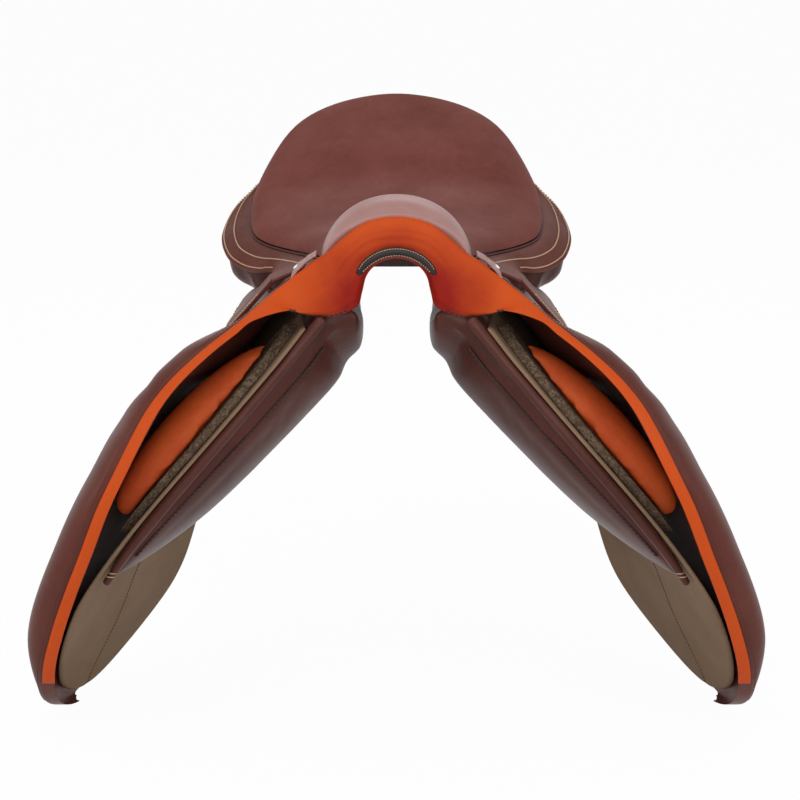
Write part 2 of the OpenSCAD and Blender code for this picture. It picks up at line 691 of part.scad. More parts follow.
nail_shank = 2.4;
nail_length = 11;
module saddle_nails() {
  color(steel) at_nails() {
    translate([0, 0, 0.9]) intersection() {
      translate([0, 0, -nail_diameter / 2]) sphere(d = 1.6 * nail_diameter, $fn = 48);
      cylinder(d = nail_diameter, h = nail_diameter);
    }
    translate([0, 0, -nail_length]) cylinder(d = nail_shank, h = nail_length + 1);
  }
}

// ---- knee blocks and their backing ----

block_mid_z = -64;
block_front_in = 4;
function block_edge_y(z) = curve(sweat_front, z) + block_front_in;
backing_in = sweat_flap_thickness * level + 0.6;
block_in = backing_in + backing_thickness * level + 0.6;
function spindle(z, length) = sqrt(max(0, 1 - pow(2 * (z - block_mid_z) / length, 2)));

module block_backing(side) {
  length = block_length + 30;
  rows = [for (i = [0:12]) block_mid_z + length / 2 * 0.995 * cos(180 * i / 12)];
  function face(out) = [for (z = rows) [for (c = [0:0.25:1]) let (w = spindle(z, length))
    off_side(z, block_edge_y(z) + block_width / 2 * (1 - w) + c * block_width * max(0.1, w), out)]];
  color(khaki) on_side(side)
    sheet_between(face(backing_in + backing_thickness * level), face(backing_in));
}

module knee_block(side) {
  rows = [for (i = [0:14]) block_mid_z + block_length / 2 * 0.995 * cos(180 * i / 14)];
  function place(z, a) = let (w = spindle(z, block_length), half = (block_width - 6) / 2 * max(0.12, w))
    [block_edge_y(z) + block_width / 2 - half * cos(a),
     block_depth * level * max(0.1, w) * power(sin(a), 0.7)];
  function face(high) = [for (z = rows) [for (a = steps(0, 180, 8)) let (p = place(z, a))
    off_side(z, p[0], block_in + (high ? 1.5 + p[1] : 0))]];
  color([0.7, 0.27, 0.14]) on_side(side) sheet_between(face(true), face(false));
}

// ---- girth straps ----

strap_mid_y = -18;
strap_out = 7.8;
strap_high = 8;
strap_drop = 215;
first_hole_z = -190;
function strap_y(place) = strap_mid_y + place * strap_spacing / 2;

module girth_web(side) {
  width = strap_spacing + strap_width;
  path = [[rail_x(strap_mid_y + width / 2) + rail_width / 2 + 1.6, 57], [76, 50], [85, 40]];
  function web_row(y, in) = concat(
    [for (p = path) [p[0] - in, y, p[1] - in / 2]],
    [for (z = [30, 20, strap_high + 2]) off_side(z, y, strap_out + 3 - in)]);
  function face(in) = [for (y = steps(strap_mid_y - width / 2, strap_mid_y + width / 2, 4))
    web_row(y, in)];
  color([0.8, 0.76, 0.66]) on_side(side) sheet_between(face(0), face(2));
}

module girth_strap(side, place) {
  mid = strap_y(place);
  rows = steps(strap_high, -strap_drop, 12);
  function half(z) = strap_width / 2 * (z < -strap_drop + 12 ? 0.55 : 1);
  function face(out) = [for (z = rows) [for (c = [-1, 0, 1]) off_side(z, mid + c * half(z), out)]];
  color(dark_brown) on_side(side) difference() {
    sheet_between(face(strap_out + strap_thickness * level), face(strap_out));
    for (k = [0:strap_holes - 1])
      let (z = first_hole_z + k * strap_hole_pitch, n = side_normal(z, mid))
      translate(off_side(z, mid, strap_out + strap_thickness * level / 2))
        rotate([0, acos(n[2]), atan2(n[1], n[0])])
          cylinder(d = strap_hole_diameter, h = 4 * strap_thickness, center = true);
  }
}

guard_rows = [-4, -66];
module buckle_guard(side) {
  width = strap_spacing + strap_width + 14;
  out = strap_out + strap_thickness * level + 1.3;
  function face(o) = [for (z = steps(guard_rows[0], guard_rows[1], 4))
    [for (c = steps(-0.5, 0.5, 4)) off_side(z, strap_mid_y + c * width, o)]];
  color(dark_brown) on_side(side) sheet_between(face(out + 2), face(out));
}

// ---- panels ----

panel_gap = 1;
panel_front = [[-196, -211], [-144, -222], [-77, -226], [-14, -218], [34, -206], [60, -197]];
panel_low = [[-226, -196], [-200, -193], [-110, -165], [-50, -125], [20, -88], [70, -64],
  [100, -42], [145, -20]];
panel_bend = 0.2;
panel_root = channel_width / 2;
rear_side = [for (p = [[95, -19], [150, 0], [180, -9], [215, -40]]) [p[0], p[1] + rear_panel_reach]];
rear_rise = [[80, 0], [95, 2], [120, 10], [140, 20], [162, 33], [190, 44], [220, 50]];
function front_place(v, y) =
  v < panel_bend
  ? mix([panel_root, channel_height - clear], [side_x(46, y) - panel_gap, 46], v / panel_bend)
  : let (z = mix(46, curve(panel_low, y), (v - panel_bend) / (1 - panel_bend)))
    [side_x(z, y) - panel_gap, z];
function rear_place(v, y) =
  [mix(panel_root, curve(rear_side, y), v), channel_height - clear + curve(rear_rise, y) * v * v];
function rearward(y) = ease((y - 70) / 72);
function panel_top(v, y) = mix(front_place(v, y), rear_place(v, y), rearward(y));
front_pad = [[-226, front_padding - 6], [-150, front_padding], [0, waist_padding],
  [95, waist_padding + 4]];
function panel_depth(v, y) =
  mix(curve(front_pad, y) * (1 - 0.5 * v * v * v),
    rear_padding + curve(rear_rise, y) * v * v - 1, rearward(y));
function panel_turn(v, y) = mix((90 - side_lean) * ease((v - 0.05) / 0.35), 0, rearward(y));
function panel_y(v, u) =
  let (z = mix(46, panel_low[0][1], clamp((v - panel_bend) / (1 - panel_bend))))
  mix(curve(panel_front, z), 222 - 24 * v * v, u);

module panel(side) {
  sections = [for (i = [0:20]) (1 - cos(180 * i / 20)) / 2 * 0.6 + i / 20 * 0.4];
  function section(u) = [for (k = [0:19]) let (a = 18 * k,
    v = 0.5 + 0.5 * power(cos(a), 0.6), h = power(sin(a), 0.6), y = panel_y(v, u),
    thin = 0.16 + 0.84 * sqrt(1 - pow(1 - min(1, u / 0.16), 2)),
    round_back = sqrt(max(0.02, 1 - pow(max(0, u - 0.8) / 0.2, 3))),
    p = panel_top(v, y), deep = panel_depth(v, y) * thin, w = panel_turn(v, y),
    down = deep * (1 - h * round_back) / 2)
    [p[0] - down * sin(w), y, p[1] - down * cos(w)]];
  color(dark_brown) on_side(side) loft([for (u = sections) section(u)]);
}

module panel_welt(side) {
  heights = steps(33, -194, 16);
  function ring(z) =
    let (r = welt_diameter / 2 * mix(0.6, 1, ease((z + 194) / 60)), y = curve(panel_front, z) - r - clear)
    [for (k = [0:7]) [side_x(z, y) - panel_gap - welt_diameter * 0.62 + r * cos(45 * k) * 0.98,
      y + r * sin(45 * k), z]];
  color(rose_brown) on_side(side) loft([for (z = heights) ring(z)]);
}

// ---- stirrup bars ----

bar_x = 95;
bar_z = 40;
bar_start = -150;
bar_end = bar_start + bar_length;
plate_x = rail_x(-148) + rail_width / 2 + clear;
plate_low = 58;
arm_from = 64;
arm_width = 10;
arm_depth = 7;
pin_back = 4.5;
tongue = 4;
fork_gap = 0.3;

module stirrup_bar(side) {
  arm = [bar_x - plate_x, arm_from - bar_z];
  color(steel) on_side(side) difference() {
    union() {
      difference() {
        translate([plate_x, bar_start, plate_low]) cube([bar_plate, bar_length + 4, 11.8]);
        at_bar_rivets() rotate([0, 90, 0]) cylinder(d = rivet_diameter - 0.6, h = 30, center = true);
      }
      translate([plate_x + bar_plate / 2, bar_start, arm_from - arm_depth / 2])
        rotate([0, atan2(arm[1], arm[0]), 0]) cube([norm(arm) - 1, arm_width, arm_depth]);
      translate([bar_x, bar_start, bar_z]) rotate([-90, 0, 0]) cylinder(d = bar_diameter, h = bar_length);
    }
    translate([bar_x - tongue / 2 - fork_gap, bar_end - 2 * pin_back, bar_z - bar_diameter])
      cube([tongue + 2 * fork_gap, 3 * pin_back, 2 * bar_diameter]);
    translate([bar_x, bar_end - pin_back, bar_z]) rotate([0, 90, 0])
      cylinder(d = catch_pin_diameter + 0.1, h = 3 * bar_diameter, center = true);
  }
}

module bar_catch(side) {
  color(steel) on_side(side) translate([bar_x, bar_end - pin_back, bar_z]) difference() {
    union() {
      rotate([0, 90, 0]) cylinder(d = 2 * pin_back - 1.6, h = tongue, center = true);
      translate([-tongue / 2, 0, -pin_back + 1.3]) cube([tongue, catch_length, 2 * pin_back - 3]);
      translate([0, catch_length - 1, 0]) rotate([0, 90, 0])
        cylinder(d = 2 * pin_back - 2, h = tongue, center = true);
    }
    rotate([0, 90, 0]) cylinder(d = catch_pin_diameter + 0.4, h = 3 * tongue, center = true);
  }
}

module catch_pins() {
  color(steel) for (side = [LEFT, RIGHT]) on_side(side)
    translate([bar_x, bar_end - pin_back, bar_z]) rotate([0, 90, 0])
      cylinder(d = catch_pin_diameter, h = bar_diameter - 0.6, center = true);
}

// ---- front dees ----

dee_x = 99;
dee_z = 56;
dee_y = -183.5;
dee_hang = 45;
dee_depth = 15;
chape_width = 9;
chape_wall = 1.6;

module dee_wire_path() {
  half = (dee_width - dee_wire) / 2;
  rotate([90, 0, 0]) cylinder(d = dee_wire, h = 2 * half, center = true);
  for (s = [-1, 1]) translate([0, s * half, 0]) {
    sphere(d = dee_wire, $fn = 24);
    translate([0, 0, -dee_depth + half]) cylinder(d = dee_wire, h = dee_depth - half);
  }
  translate([0, 0, -dee_depth + half]) rotate([90, 180, 90])
    rotate_extrude(angle = 180, $fn = 48) translate([half, 0]) circle(d = dee_wire, $fn = 24);
}

module front_dee(side) {
  color(steel) on_side(side) translate([dee_x, dee_y, dee_z]) rotate([0, -dee_hang, 0])
    dee_wire_path();
}

module dee_chapes() {
  bore = dee_wire + 0.5;
  root = arch_half + clear;
  color(dark_brown) for (side = [LEFT, RIGHT]) on_side(side) difference() {
    union() {
      translate([dee_x, dee_y, dee_z]) rotate([90, 0, 0])
        cylinder(d = bore + 2 * chape_wall, h = chape_width, center = true);
      translate([root, dee_y - chape_width / 2, dee_z - chape_wall])
        cube([dee_x - root - bore / 2 - 0.3, chape_width, 2 * chape_wall]);
    }
    translate([dee_x, dee_y, dee_z]) rotate([90, 0, 0])
      cylinder(d = bore, h = 3 * chape_width, center = true);
  }
}

head_arch();
head_plate();
tree_rivets();
tree_rail(LEFT);  // tree_rail_left
tree_rail(RIGHT);  // tree_rail_right
rail_spring(LEFT);  // rail_spring_left
rail_spring(RIGHT);  // rail_spring_right
cantle_board();
seat_webs();
seat_foam();
seat_cover();
pommel_cover();
cantle_facing();
seat_band(LEFT);  // seat_band_left
seat_band(RIGHT);  // seat_band_right
skirt(LEFT);  // skirt_left
skirt(RIGHT);  // skirt_right
saddle_nails();
front_dee(LEFT);  // front_dee_left
front_dee(RIGHT);  // front_dee_right
dee_chapes();
stirrup_bar(LEFT);  // stirrup_bar_left
stirrup_bar(RIGHT);  // stirrup_bar_right
bar_catch(LEFT);  // bar_catch_left
bar_catch(RIGHT);  // bar_catch_right
catch_pins();
head_facing();
arch_badge();
flap_top(LEFT);  // flap_top_left
flap_top(RIGHT);  // flap_top_right
flap(LEFT);  // flap_left
flap(RIGHT);  // flap_right
flap_facing(LEFT);  // flap_facing_left
flap_facing(RIGHT);  // flap_facing_right
sweat_flap(LEFT);  // sweat_flap_left
sweat_flap(RIGHT);  // sweat_flap_right
knee_block(LEFT);  // knee_block_left
knee_block(RIGHT);  // knee_block_right
block_backing(LEFT);  // block_backing_left
block_backing(RIGHT);  // block_backing_right
girth_web(LEFT);  // girth_web_left
girth_web(RIGHT);  // girth_web_right
girth_strap(LEFT, -1);  // girth_strap_front_left
girth_strap(RIGHT, -1);  // girth_strap_front_right
girth_strap(LEFT, 1);  // girth_strap_rear_left
girth_strap(RIGHT, 1);  // girth_strap_rear_right
buckle_guard(LEFT);  // buckle_guard_left
buckle_guard(RIGHT);  // buckle_guard_right
panel(LEFT);  // panel_left
panel(RIGHT);  // panel_right
panel_welt(LEFT);  // panel_welt_left
panel_welt(RIGHT);  // panel_welt_right
gullet_lining();
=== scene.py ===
# %% [markdown]
# # A close-contact jumping saddle, dressed in leather
#
# The frame brings in the saddle's solid parts, each at its place and on the body that moves it.
# Leather is soft, so its solids are only stand-ins: this script makes a finished skin for each of
# them, in the same place, and gives wood, steel and chrome their finish. All lengths in the
# functions are in millimetres, as a saddler would say them, and turn into metres in the meshes.

import json
import math

import bmesh
import bpy
import numpy as np
from mathutils import Matrix, Vector, noise


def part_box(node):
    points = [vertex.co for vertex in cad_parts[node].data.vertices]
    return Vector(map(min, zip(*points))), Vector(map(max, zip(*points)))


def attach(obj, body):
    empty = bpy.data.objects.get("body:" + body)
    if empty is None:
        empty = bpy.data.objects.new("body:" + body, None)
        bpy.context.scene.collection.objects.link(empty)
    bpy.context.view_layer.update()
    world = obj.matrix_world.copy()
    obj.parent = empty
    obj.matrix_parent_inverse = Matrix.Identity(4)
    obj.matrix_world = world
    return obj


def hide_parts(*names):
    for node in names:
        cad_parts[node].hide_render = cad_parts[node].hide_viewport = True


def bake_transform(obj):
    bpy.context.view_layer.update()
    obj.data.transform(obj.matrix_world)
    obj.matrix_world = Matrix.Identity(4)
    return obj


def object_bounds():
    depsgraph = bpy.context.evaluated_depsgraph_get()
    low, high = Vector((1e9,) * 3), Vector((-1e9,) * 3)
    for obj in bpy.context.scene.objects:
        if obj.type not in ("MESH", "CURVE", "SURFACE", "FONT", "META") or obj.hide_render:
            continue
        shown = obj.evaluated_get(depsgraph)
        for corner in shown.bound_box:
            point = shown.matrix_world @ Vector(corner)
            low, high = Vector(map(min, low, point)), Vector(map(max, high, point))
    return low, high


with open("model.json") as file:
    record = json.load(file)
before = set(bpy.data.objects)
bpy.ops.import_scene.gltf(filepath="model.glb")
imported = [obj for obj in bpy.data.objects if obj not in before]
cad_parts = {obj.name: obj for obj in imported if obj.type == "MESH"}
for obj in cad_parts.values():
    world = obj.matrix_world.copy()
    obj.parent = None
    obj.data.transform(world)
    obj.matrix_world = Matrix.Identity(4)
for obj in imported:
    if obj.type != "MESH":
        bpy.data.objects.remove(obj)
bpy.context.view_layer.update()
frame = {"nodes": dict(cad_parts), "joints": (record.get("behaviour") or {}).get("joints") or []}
scene = bpy.context.scene
MM = 0.001

# %% [markdown]
# ## Smooth curves from a few stations
#
# A saddler draws a seat or a flap from a few measured stations and joins them with a bent lath.
# A cubic curve through stations does the same: it passes through every one and stays smooth.

# %% Curves


def mix(a, b, t):
    return a + (b - a) * t


def ease(t):
    t = min(1.0, max(0.0, t))
    return t * t * (3 - 2 * t)


def steps(a, b, n):
    return [mix(a, b, i / n) for i in range(n + 1)]


def power(base, exponent):
    return math.copysign(abs(base) ** exponent, base)


def curve(stations, at):
    """Height of a smooth curve through [place, height] stations, level beyond its ends."""
    at = max(stations[0][0], min(stations[-1][0], at))
    i = 0
    while i < len(stations) - 2 and at > stations[i + 1][0]:
        i += 1

    def rise(k):
        a, b = max(0, k - 1), min(len(stations) - 1, k + 1)
        return (stations[b][1] - stations[a][1]) / (stations[b][0] - stations[a][0])

    (x0, y0), (x1, y1) = stations[i], stations[i + 1]
    h = x1 - x0
    t = (at - x0) / h
    return (
        (2 * t**3 - 3 * t**2 + 1) * y0
        + (t**3 - 2 * t**2 + t) * h * rise(i)
        + (3 * t**2 - 2 * t**3) * y1
        + (t**3 - t**2) * h * rise(i + 1)
    )


# %% [markdown]
# ## Sizes
#
# These are the saddle's own sizes. The pommel's front is read off its solid; the rear and the heights
# are given here.

# %% Sizes
pommel_box, seat_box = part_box("pommel_cover"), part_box("seat_cover")
POMMEL = -pommel_box[0].y / MM
CANTLE = 232.0
DIP, CANTLE_TOP, POMMEL_TOP = 84.0, 178.0, 137.0
SEAT, WAIST, HEAD = 284.0, 142.0, 130.0
EDGE, HEAD_EDGE = 60.0, 80.0
WIDEST = 105.0
SPLIT = -152.0
REAR_FULL = 2.9
print("pommel", round(POMMEL, 2), "seat's rear", round(seat_box[1].y / MM, 2))

# %% [markdown]
# ## The seat's form
#
# A seat is a saddle in the mathematician's sense too: it dips between pommel and cantle and is
# crowned across. Three curves along it, for crown, edge and half width, and a rounded section
# across, give every point of it.

# %% The seat's curves
CROWN = [
    [-POMMEL, POMMEL_TOP - 11],
    [-POMMEL + 16, POMMEL_TOP - 1],
    [-POMMEL + 40, POMMEL_TOP],
    [-100, mix(DIP, POMMEL_TOP, 0.42)],
    [0, DIP],
    [100, mix(DIP, CANTLE_TOP, 0.2)],
    [165, mix(DIP, CANTLE_TOP, 0.6)],
    [CANTLE, CANTLE_TOP],
]
RIM = [
    [-POMMEL, HEAD_EDGE + 6],
    [-175, HEAD_EDGE],
    [-80, mix(EDGE, HEAD_EDGE, 0.35)],
    [10, EDGE],
    [60, EDGE + 3],
    [150, mix(EDGE, CANTLE_TOP, 0.24)],
    [175, mix(EDGE, CANTLE_TOP, 0.39)],
    [205, mix(EDGE, CANTLE_TOP, 0.73)],
    [CANTLE, CANTLE_TOP - 2],
]
PLAN = [
    [-POMMEL, HEAD / 2 - 3],
    [-140, HEAD / 2 + 1],
    [-80, WAIST / 2],
    [-40, mix(WAIST, SEAT, 0.22) / 2],
    [30, mix(WAIST, SEAT, 0.75) / 2],
    [60, SEAT / 2 - 5],
    [WIDEST, SEAT / 2],
    [150, SEAT / 2 - 5],
]


def crown_z(y):
    return curve(CROWN, y)


def edge_z(y):
    return curve(RIM, y)


def seat_half(y):
    if y < WIDEST:
        return curve(PLAN, y)
    return SEAT / 2 * math.sqrt(max(0, 1 - ((y - WIDEST) / (CANTLE - WIDEST)) ** REAR_FULL))


def dome(x, y, half, height):
    full = mix(mix(2, 3, ease((y + 190) / 100)), 4, ease((y - 60) / 80))
    return edge_z(y) + height * math.sqrt(max(0, 1 - min(1, abs(x) / half) ** full))


def dome_row(y, cut, drop, columns):
    half = seat_half(y) - cut
    height = max(1.5, crown_z(y) - edge_z(y) - drop)
    across = [half * math.sin(math.radians(a)) for a in steps(-90, 90, columns)]
    return [[x, y, dome(x, y, half, height)] for x in across]


print("dip at", round(crown_z(0), 1), "rim beside it at", round(edge_z(0), 1))

# %% [markdown]
# ## The sides' form
#
# Sweat flap, straps, knee block and flap lie over each other on each side. One leaning, slightly
# tucked surface carries them all, and each layer is a stated distance outside it.

# %% The sides' curves
LEAN = math.radians(40.7)
LEVEL = 1 / math.cos(LEAN)
CLEAR = 0.35
SWEAT_THICK = 3.6
FLAP_THICK, FACING_WIDTH, FLAP_PAD, FLAP_ROLL = 5.4, 11.5, 12.0, 34.0
HINGE_Z = -2.0
HINGE_ENDS = (-258.0, 98.0)
FLAP_DROP, SWEAT_DROP = 338.0, 331.0
FLAP_FRONT = [
    [-344, -232],
    [-281, -229],
    [-232, -236],
    [-165, -262],
    [-94, -277],
    [-36, -268],
    [17, -245],
    [40, -POMMEL - 20],
    [53, -POMMEL - 10.5],
    [63, -POMMEL - 2.5],
    [72, -POMMEL],
    [90, -POMMEL],
]
FLAP_REAR = [[-344, -25], [-281, 30], [-232, 52], [-165, 75], [-94, 95], [0, 98]]
FRONT_STAND = [
    [-300, 2],
    [-232, 7.5],
    [-165, 24],
    [-94, 57],
    [-36, 82],
    [-9, 86],
    [17, 79],
    [40, 65],
    [64, 53],
    [90, 42],
]
REAR_STAND = [[-344, 14], [-230, 23], [-60, 26], [0, 24], [60, 20]]
FALL_BACK = [[-120, 240], [-60, 230], [0, 120], [60, 100]]
ROLL_SHARE = [
    [-344, 0.35],
    [-322, 0.352],
    [-300, 0.5],
    [-240, 1],
    [-160, 0.94],
    [-90, 0.65],
    [-48, 0.47],
    [-12, 0],
]
PADDING_AT = [[-270, 0], [-230, 0.1], [-180, 0.8], [-120, 1], [-20, 0.8], [20, 0]]
FLAP_TOP_END = [[-2, 98], [10, 78], [20, 30], [26, -60], [31, -150], [36, -178], [42, -193], [74, -193]]


def side_x(z, y):
    down = 48 - z
    toe = 0.47 * ease((20 - z) / 300) - 0.07
    return 60 + down * math.tan(LEAN) - 61 * (max(0, down) / 393) ** 4 - toe * (y + 220)


def cap(z, top, drop):
    return 1 if z > top else math.sqrt(max(0, 1 - ((top - z) / (drop + top)) ** 2))


def rounded_rows(high, top, drop, n, k):
    return steps(high, top, n) + [
        top - (drop + top) * math.sin(math.radians(i * 88 / k)) for i in range(1, k + 1)
    ]


def flap_front_y(z):
    f, r = curve(FLAP_FRONT, z), curve(FLAP_REAR, z)
    return (f + r) / 2 - (r - f) / 2 * cap(z, -215, FLAP_DROP)


def flap_y(z, c):
    f = flap_front_y(z)
    if z > HINGE_Z:
        return mix(f + 3.2 * ease((z - 26) / 12), curve(FLAP_TOP_END, z), c**1.5)
    m = (curve(FLAP_FRONT, z) + curve(FLAP_REAR, z)) / 2
    return mix(f, 2 * m - f, c**1.5)


def flap_out(z, y):
    behind = y - flap_front_y(z)
    low = ease((-z - 12) / 36)
    rolled = 0 if z > -12 else FLAP_ROLL * max(0, curve(ROLL_SHARE, z))
    roll = rolled * math.sqrt(1 - (1 - min(1, max(0, behind) / 40)) ** 2)
    full = curve(FRONT_STAND, z) + roll
    back = curve(REAR_STAND, z)
    return back + (full - back) * (1 - ease((behind - 30 * low) / curve(FALL_BACK, z)))


def flap_depth(z, y):
    behind = max(0, y - flap_front_y(z))
    pad = max(0, math.sin(math.pi * math.sqrt(min(1, behind / 170)))) ** 0.8
    return (
        mix(FACING_WIDTH, FLAP_THICK * LEVEL, ease(behind / 28))
        + FLAP_PAD * curve(PADDING_AT, z) * pad
    )


def hinge_x(y):
    a, b = HINGE_ENDS
    front = side_x(HINGE_Z, a) + curve(FRONT_STAND, HINGE_Z) + 2.5
    rear = side_x(HINGE_Z, b) + curve(REAR_STAND, HINGE_Z) + 3
    return mix(front, rear, (y - a) / (b - a))


def sunk(z, y):
    """Height at which the flap's grid point lies: its upper edge is cut square to the side."""
    k = math.tan(LEAN)
    away = hinge_x(y) - side_x(HINGE_Z, y) - flap_out(HINGE_Z, y) + flap_depth(HINGE_Z, y)
    drop = ease((y + 235) / 55) * away * k / (1 + k * k)
    above = z - HINGE_Z
    share = 1 - above / 28 if above > 0 else 1 + above / 110
    return z - drop * min(1, max(0, share))


print("flap's hinge line", round(hinge_x(-258), 1), "to", round(hinge_x(98), 1))

# %% [markdown]
# ## From grids to leather
#
# Cut leather has thickness and a rim that the saddler rounds and paints. A sheet here is two equal
# grids, face and back, that run together round every rim in a half circle. The painted rim and
# the back get their own slots, so that one mesh shows all three finishes.

# %% Meshes


def new_object(name, points, faces, slots=None):
    """A smooth, closed mesh from points in millimetres, its faces turned outward."""
    build = bmesh.new()
    verts = [build.verts.new([c * MM for c in p]) for p in points]
    for number, face in enumerate(faces):
        made = build.faces.new([verts[i] for i in face])
        made.smooth = True
        made.material_index = slots[number] if slots else 0
    bmesh.ops.remove_doubles(build, verts=build.verts, dist=2e-6)
    bmesh.ops.dissolve_degenerate(build, edges=build.edges, dist=1e-6)
    if build.calc_volume(signed=True) < 0:
        bmesh.ops.reverse_faces(build, faces=build.faces)
    mesh = bpy.data.meshes.new(name)
    build.to_mesh(mesh)
    build.free()
    obj = bpy.data.objects.new(name, mesh)
    scene.collection.objects.link(obj)
    return obj


def turn_rim(middle, half, is_round, turns):
    """Adds the rim at the first row: a half circle, or a plain wall where two pieces butt."""
    if not is_round:
        return np.concatenate([middle[:1], middle]), np.concatenate([0 * half[:1], half])
    way = middle[0] - middle[1]
    length = np.linalg.norm(way, axis=1, keepdims=True)
    way = way / np.maximum(length, 1e-6)
    thick = np.minimum(np.linalg.norm(half[0], axis=1, keepdims=True), 0.8 * length)
    angles = [math.pi / 2 * (1 - k / turns) for k in range(turns + 1)]
    rows = [middle[0] - way * thick * (1 - math.sin(a)) for a in angles]
    halves = [half[0] * math.cos(a) for a in angles]
    return np.concatenate([rows, middle[1:]]), np.concatenate([halves, half[1:]])


def leather_sheet(name, face, back, rims=(True, True, True, True), turns=3):
    """Closed leather between two grids. rims: first row, last row, first column, last column."""
    face, back = np.array(face, float), np.array(back, float)
    middle, half = (face + back) / 2, (face - back) / 2
    for number, is_round in enumerate(rims):
        axis, at_end = divmod(number, 2)
        if axis:
            middle, half = middle.swapaxes(0, 1), half.swapaxes(0, 1)
        if at_end:
            middle, half = middle[::-1], half[::-1]
        middle, half = turn_rim(middle, half, is_round, turns)
        if at_end:
            middle, half = middle[::-1], half[::-1]
        if axis:
            middle, half = middle.swapaxes(0, 1), half.swapaxes(0, 1)
    rows, columns = middle.shape[:2]
    points = np.concatenate([(middle + half).reshape(-1, 3), (middle - half).reshape(-1, 3)])
    count = rows * columns
    faces, slots = [], []
    for r in range(rows - 1):
        for c in range(columns - 1):
            a = r * columns + c
            quad = [a, a + columns, a + columns + 1, a + 1]
            at_rim = min(r, c) < turns or r >= rows - 1 - turns or c >= columns - 1 - turns
            faces.append(quad)
            slots.append(1 if at_rim else 0)
            faces.append([count + i for i in reversed(quad)])
            slots.append(1 if at_rim else 2)
    return new_object(name, points, faces, slots)


def grid_of(rows, columns, place):
    """Grid of points: place(row value, column value) for each pair."""
    return [[place(r, c) for c in columns] for r in rows]


print("mesh tools ready")

# %% [markdown]
# ## Cords, welts and thread
#
# A welt is a cord in a leather sleeve, and a stitch is a short piece of thread that dips into the
# leather at both ends. Both follow a line. Real geometry is used for every stitch: thread stands
# proud and catches light, which a painted line can't do.

# %% Rods along a line


def frames_along(path):
    """Points, directions and two square directions at each point of a line."""
    path = np.array(path, float)
    along = np.gradient(path, axis=0)
    along /= np.linalg.norm(along, axis=1, keepdims=True)
    side = np.cross(along, np.where(np.abs(along[:, 2:3]) < 0.9, [[0, 0, 1.0]], [[0, 1.0, 0]]))
    for i in range(1, len(path)):
        turned = side[i - 1] - along[i] * np.dot(side[i - 1], along[i])
        side[i] = turned
        side[i] /= np.linalg.norm(side[i])
    side[0] /= np.linalg.norm(side[0])
    return path, along, side, np.cross(along, side)


def rod(path, radius, sides=10):
    """Points and faces of a rod with rounded ends. radius is a number or one for each point."""
    path, along, side, up = frames_along(path)
    radius = np.broadcast_to(np.array(radius, float), (len(path),))
    rings = [(path[i], side[i], up[i], radius[i]) for i in range(len(path))]
    for end, sign in ((0, -1), (-1, 1)):
        for angle in (35, 70):
            a = math.radians(angle)
            shift = sign * along[end] * radius[end] * math.sin(a) * 0.6
            ring = (path[end] + shift, side[end], up[end], radius[end] * math.cos(a))
            rings = [ring] + rings if end == 0 else rings + [ring]
    turn = [2 * math.pi * k / sides for k in range(sides)]
    points = [p + r * (math.cos(t) * s + math.sin(t) * u) for p, s, u, r in rings for t in turn]
    count = len(rings)
    faces = []
    for r in range(count - 1):
        for c in range(sides):
            d = (c + 1) % sides
            faces.append(
                [r * sides + c, r * sides + d, (r + 1) * sides + d, (r + 1) * sides + c]
            )
    faces.append(list(reversed(range(sides))))
    faces.append([(count - 1) * sides + c for c in range(sides)])
    return points, faces


def together(name, parts):
    """One object from several (points, faces) parts."""
    points, faces = [], []
    for some_points, some_faces in parts:
        base = len(points)
        points.extend(some_points)
        faces.extend([[base + i for i in f] for f in some_faces])
    return new_object(name, points, faces)


# %% Stitches along a line


def measured(path):
    path = np.array(path, float)
    return np.concatenate([[0], np.cumsum(np.linalg.norm(np.diff(path, axis=0), axis=1))])


def resample(path, count):
    """The same line with evenly spaced points."""
    path, run = np.array(path, float), measured(path)
    at = np.linspace(0, run[-1], count)
    return np.stack([np.interp(at, run, path[:, k]) for k in range(path.shape[1])], axis=1)


def stitches(path, normals, pitch=3.0, thread=0.42, lift=0.25, slant=0.0, sides=6):
    """Threads laid end to end along a line on the leather; slant turns each one across it."""
    run = measured(path)
    count = max(2, int(run[-1] / pitch))
    both = resample(np.concatenate([np.array(path, float), np.array(normals, float)], axis=1), count + 1)
    rings = [(-0.5, 0.15), (-0.42, 0.8), (-0.2, 1.0), (0.2, 1.0), (0.42, 0.8), (0.5, 0.15)]
    points, faces = [], []
    for i in range(count):
        a, b = both[i], both[i + 1]
        mid, normal = (a[:3] + b[:3]) / 2, (a[3:] + b[3:]) / 2
        along = b[:3] - a[:3]
        gap = np.linalg.norm(along)
        if gap < 1e-6:
            continue
        along /= gap
        normal -= along * np.dot(normal, along)
        normal /= max(1e-9, np.linalg.norm(normal))
        across = np.cross(normal, along)
        along, across = (
            along * math.cos(slant) + across * math.sin(slant),
            across * math.cos(slant) - along * math.sin(slant),
        )
        base = len(points)
        for place, share in rings:
            dip = lift * (1 - (2 * place) ** 4) - 0.3 * abs(2 * place) ** 4
            centre = mid + along * gap * 0.84 * place + normal * dip
            for k in range(sides):
                t = 2 * math.pi * k / sides
                points.append(
                    centre + thread * share * (math.cos(t) * across + math.sin(t) * normal)
                )
        for r in range(len(rings) - 1):
            for c in range(sides):
                d = (c + 1) % sides
                faces.append(
                    [
                        base + r * sides + c,
                        base + r * sides + d,
                        base + (r + 1) * sides + d,
                        base + (r + 1) * sides + c,
                    ]
                )
        faces.append([base + c for c in reversed(range(sides))])
        faces.append([base + (len(rings) - 1) * sides + c for c in range(sides)])
    return points, faces


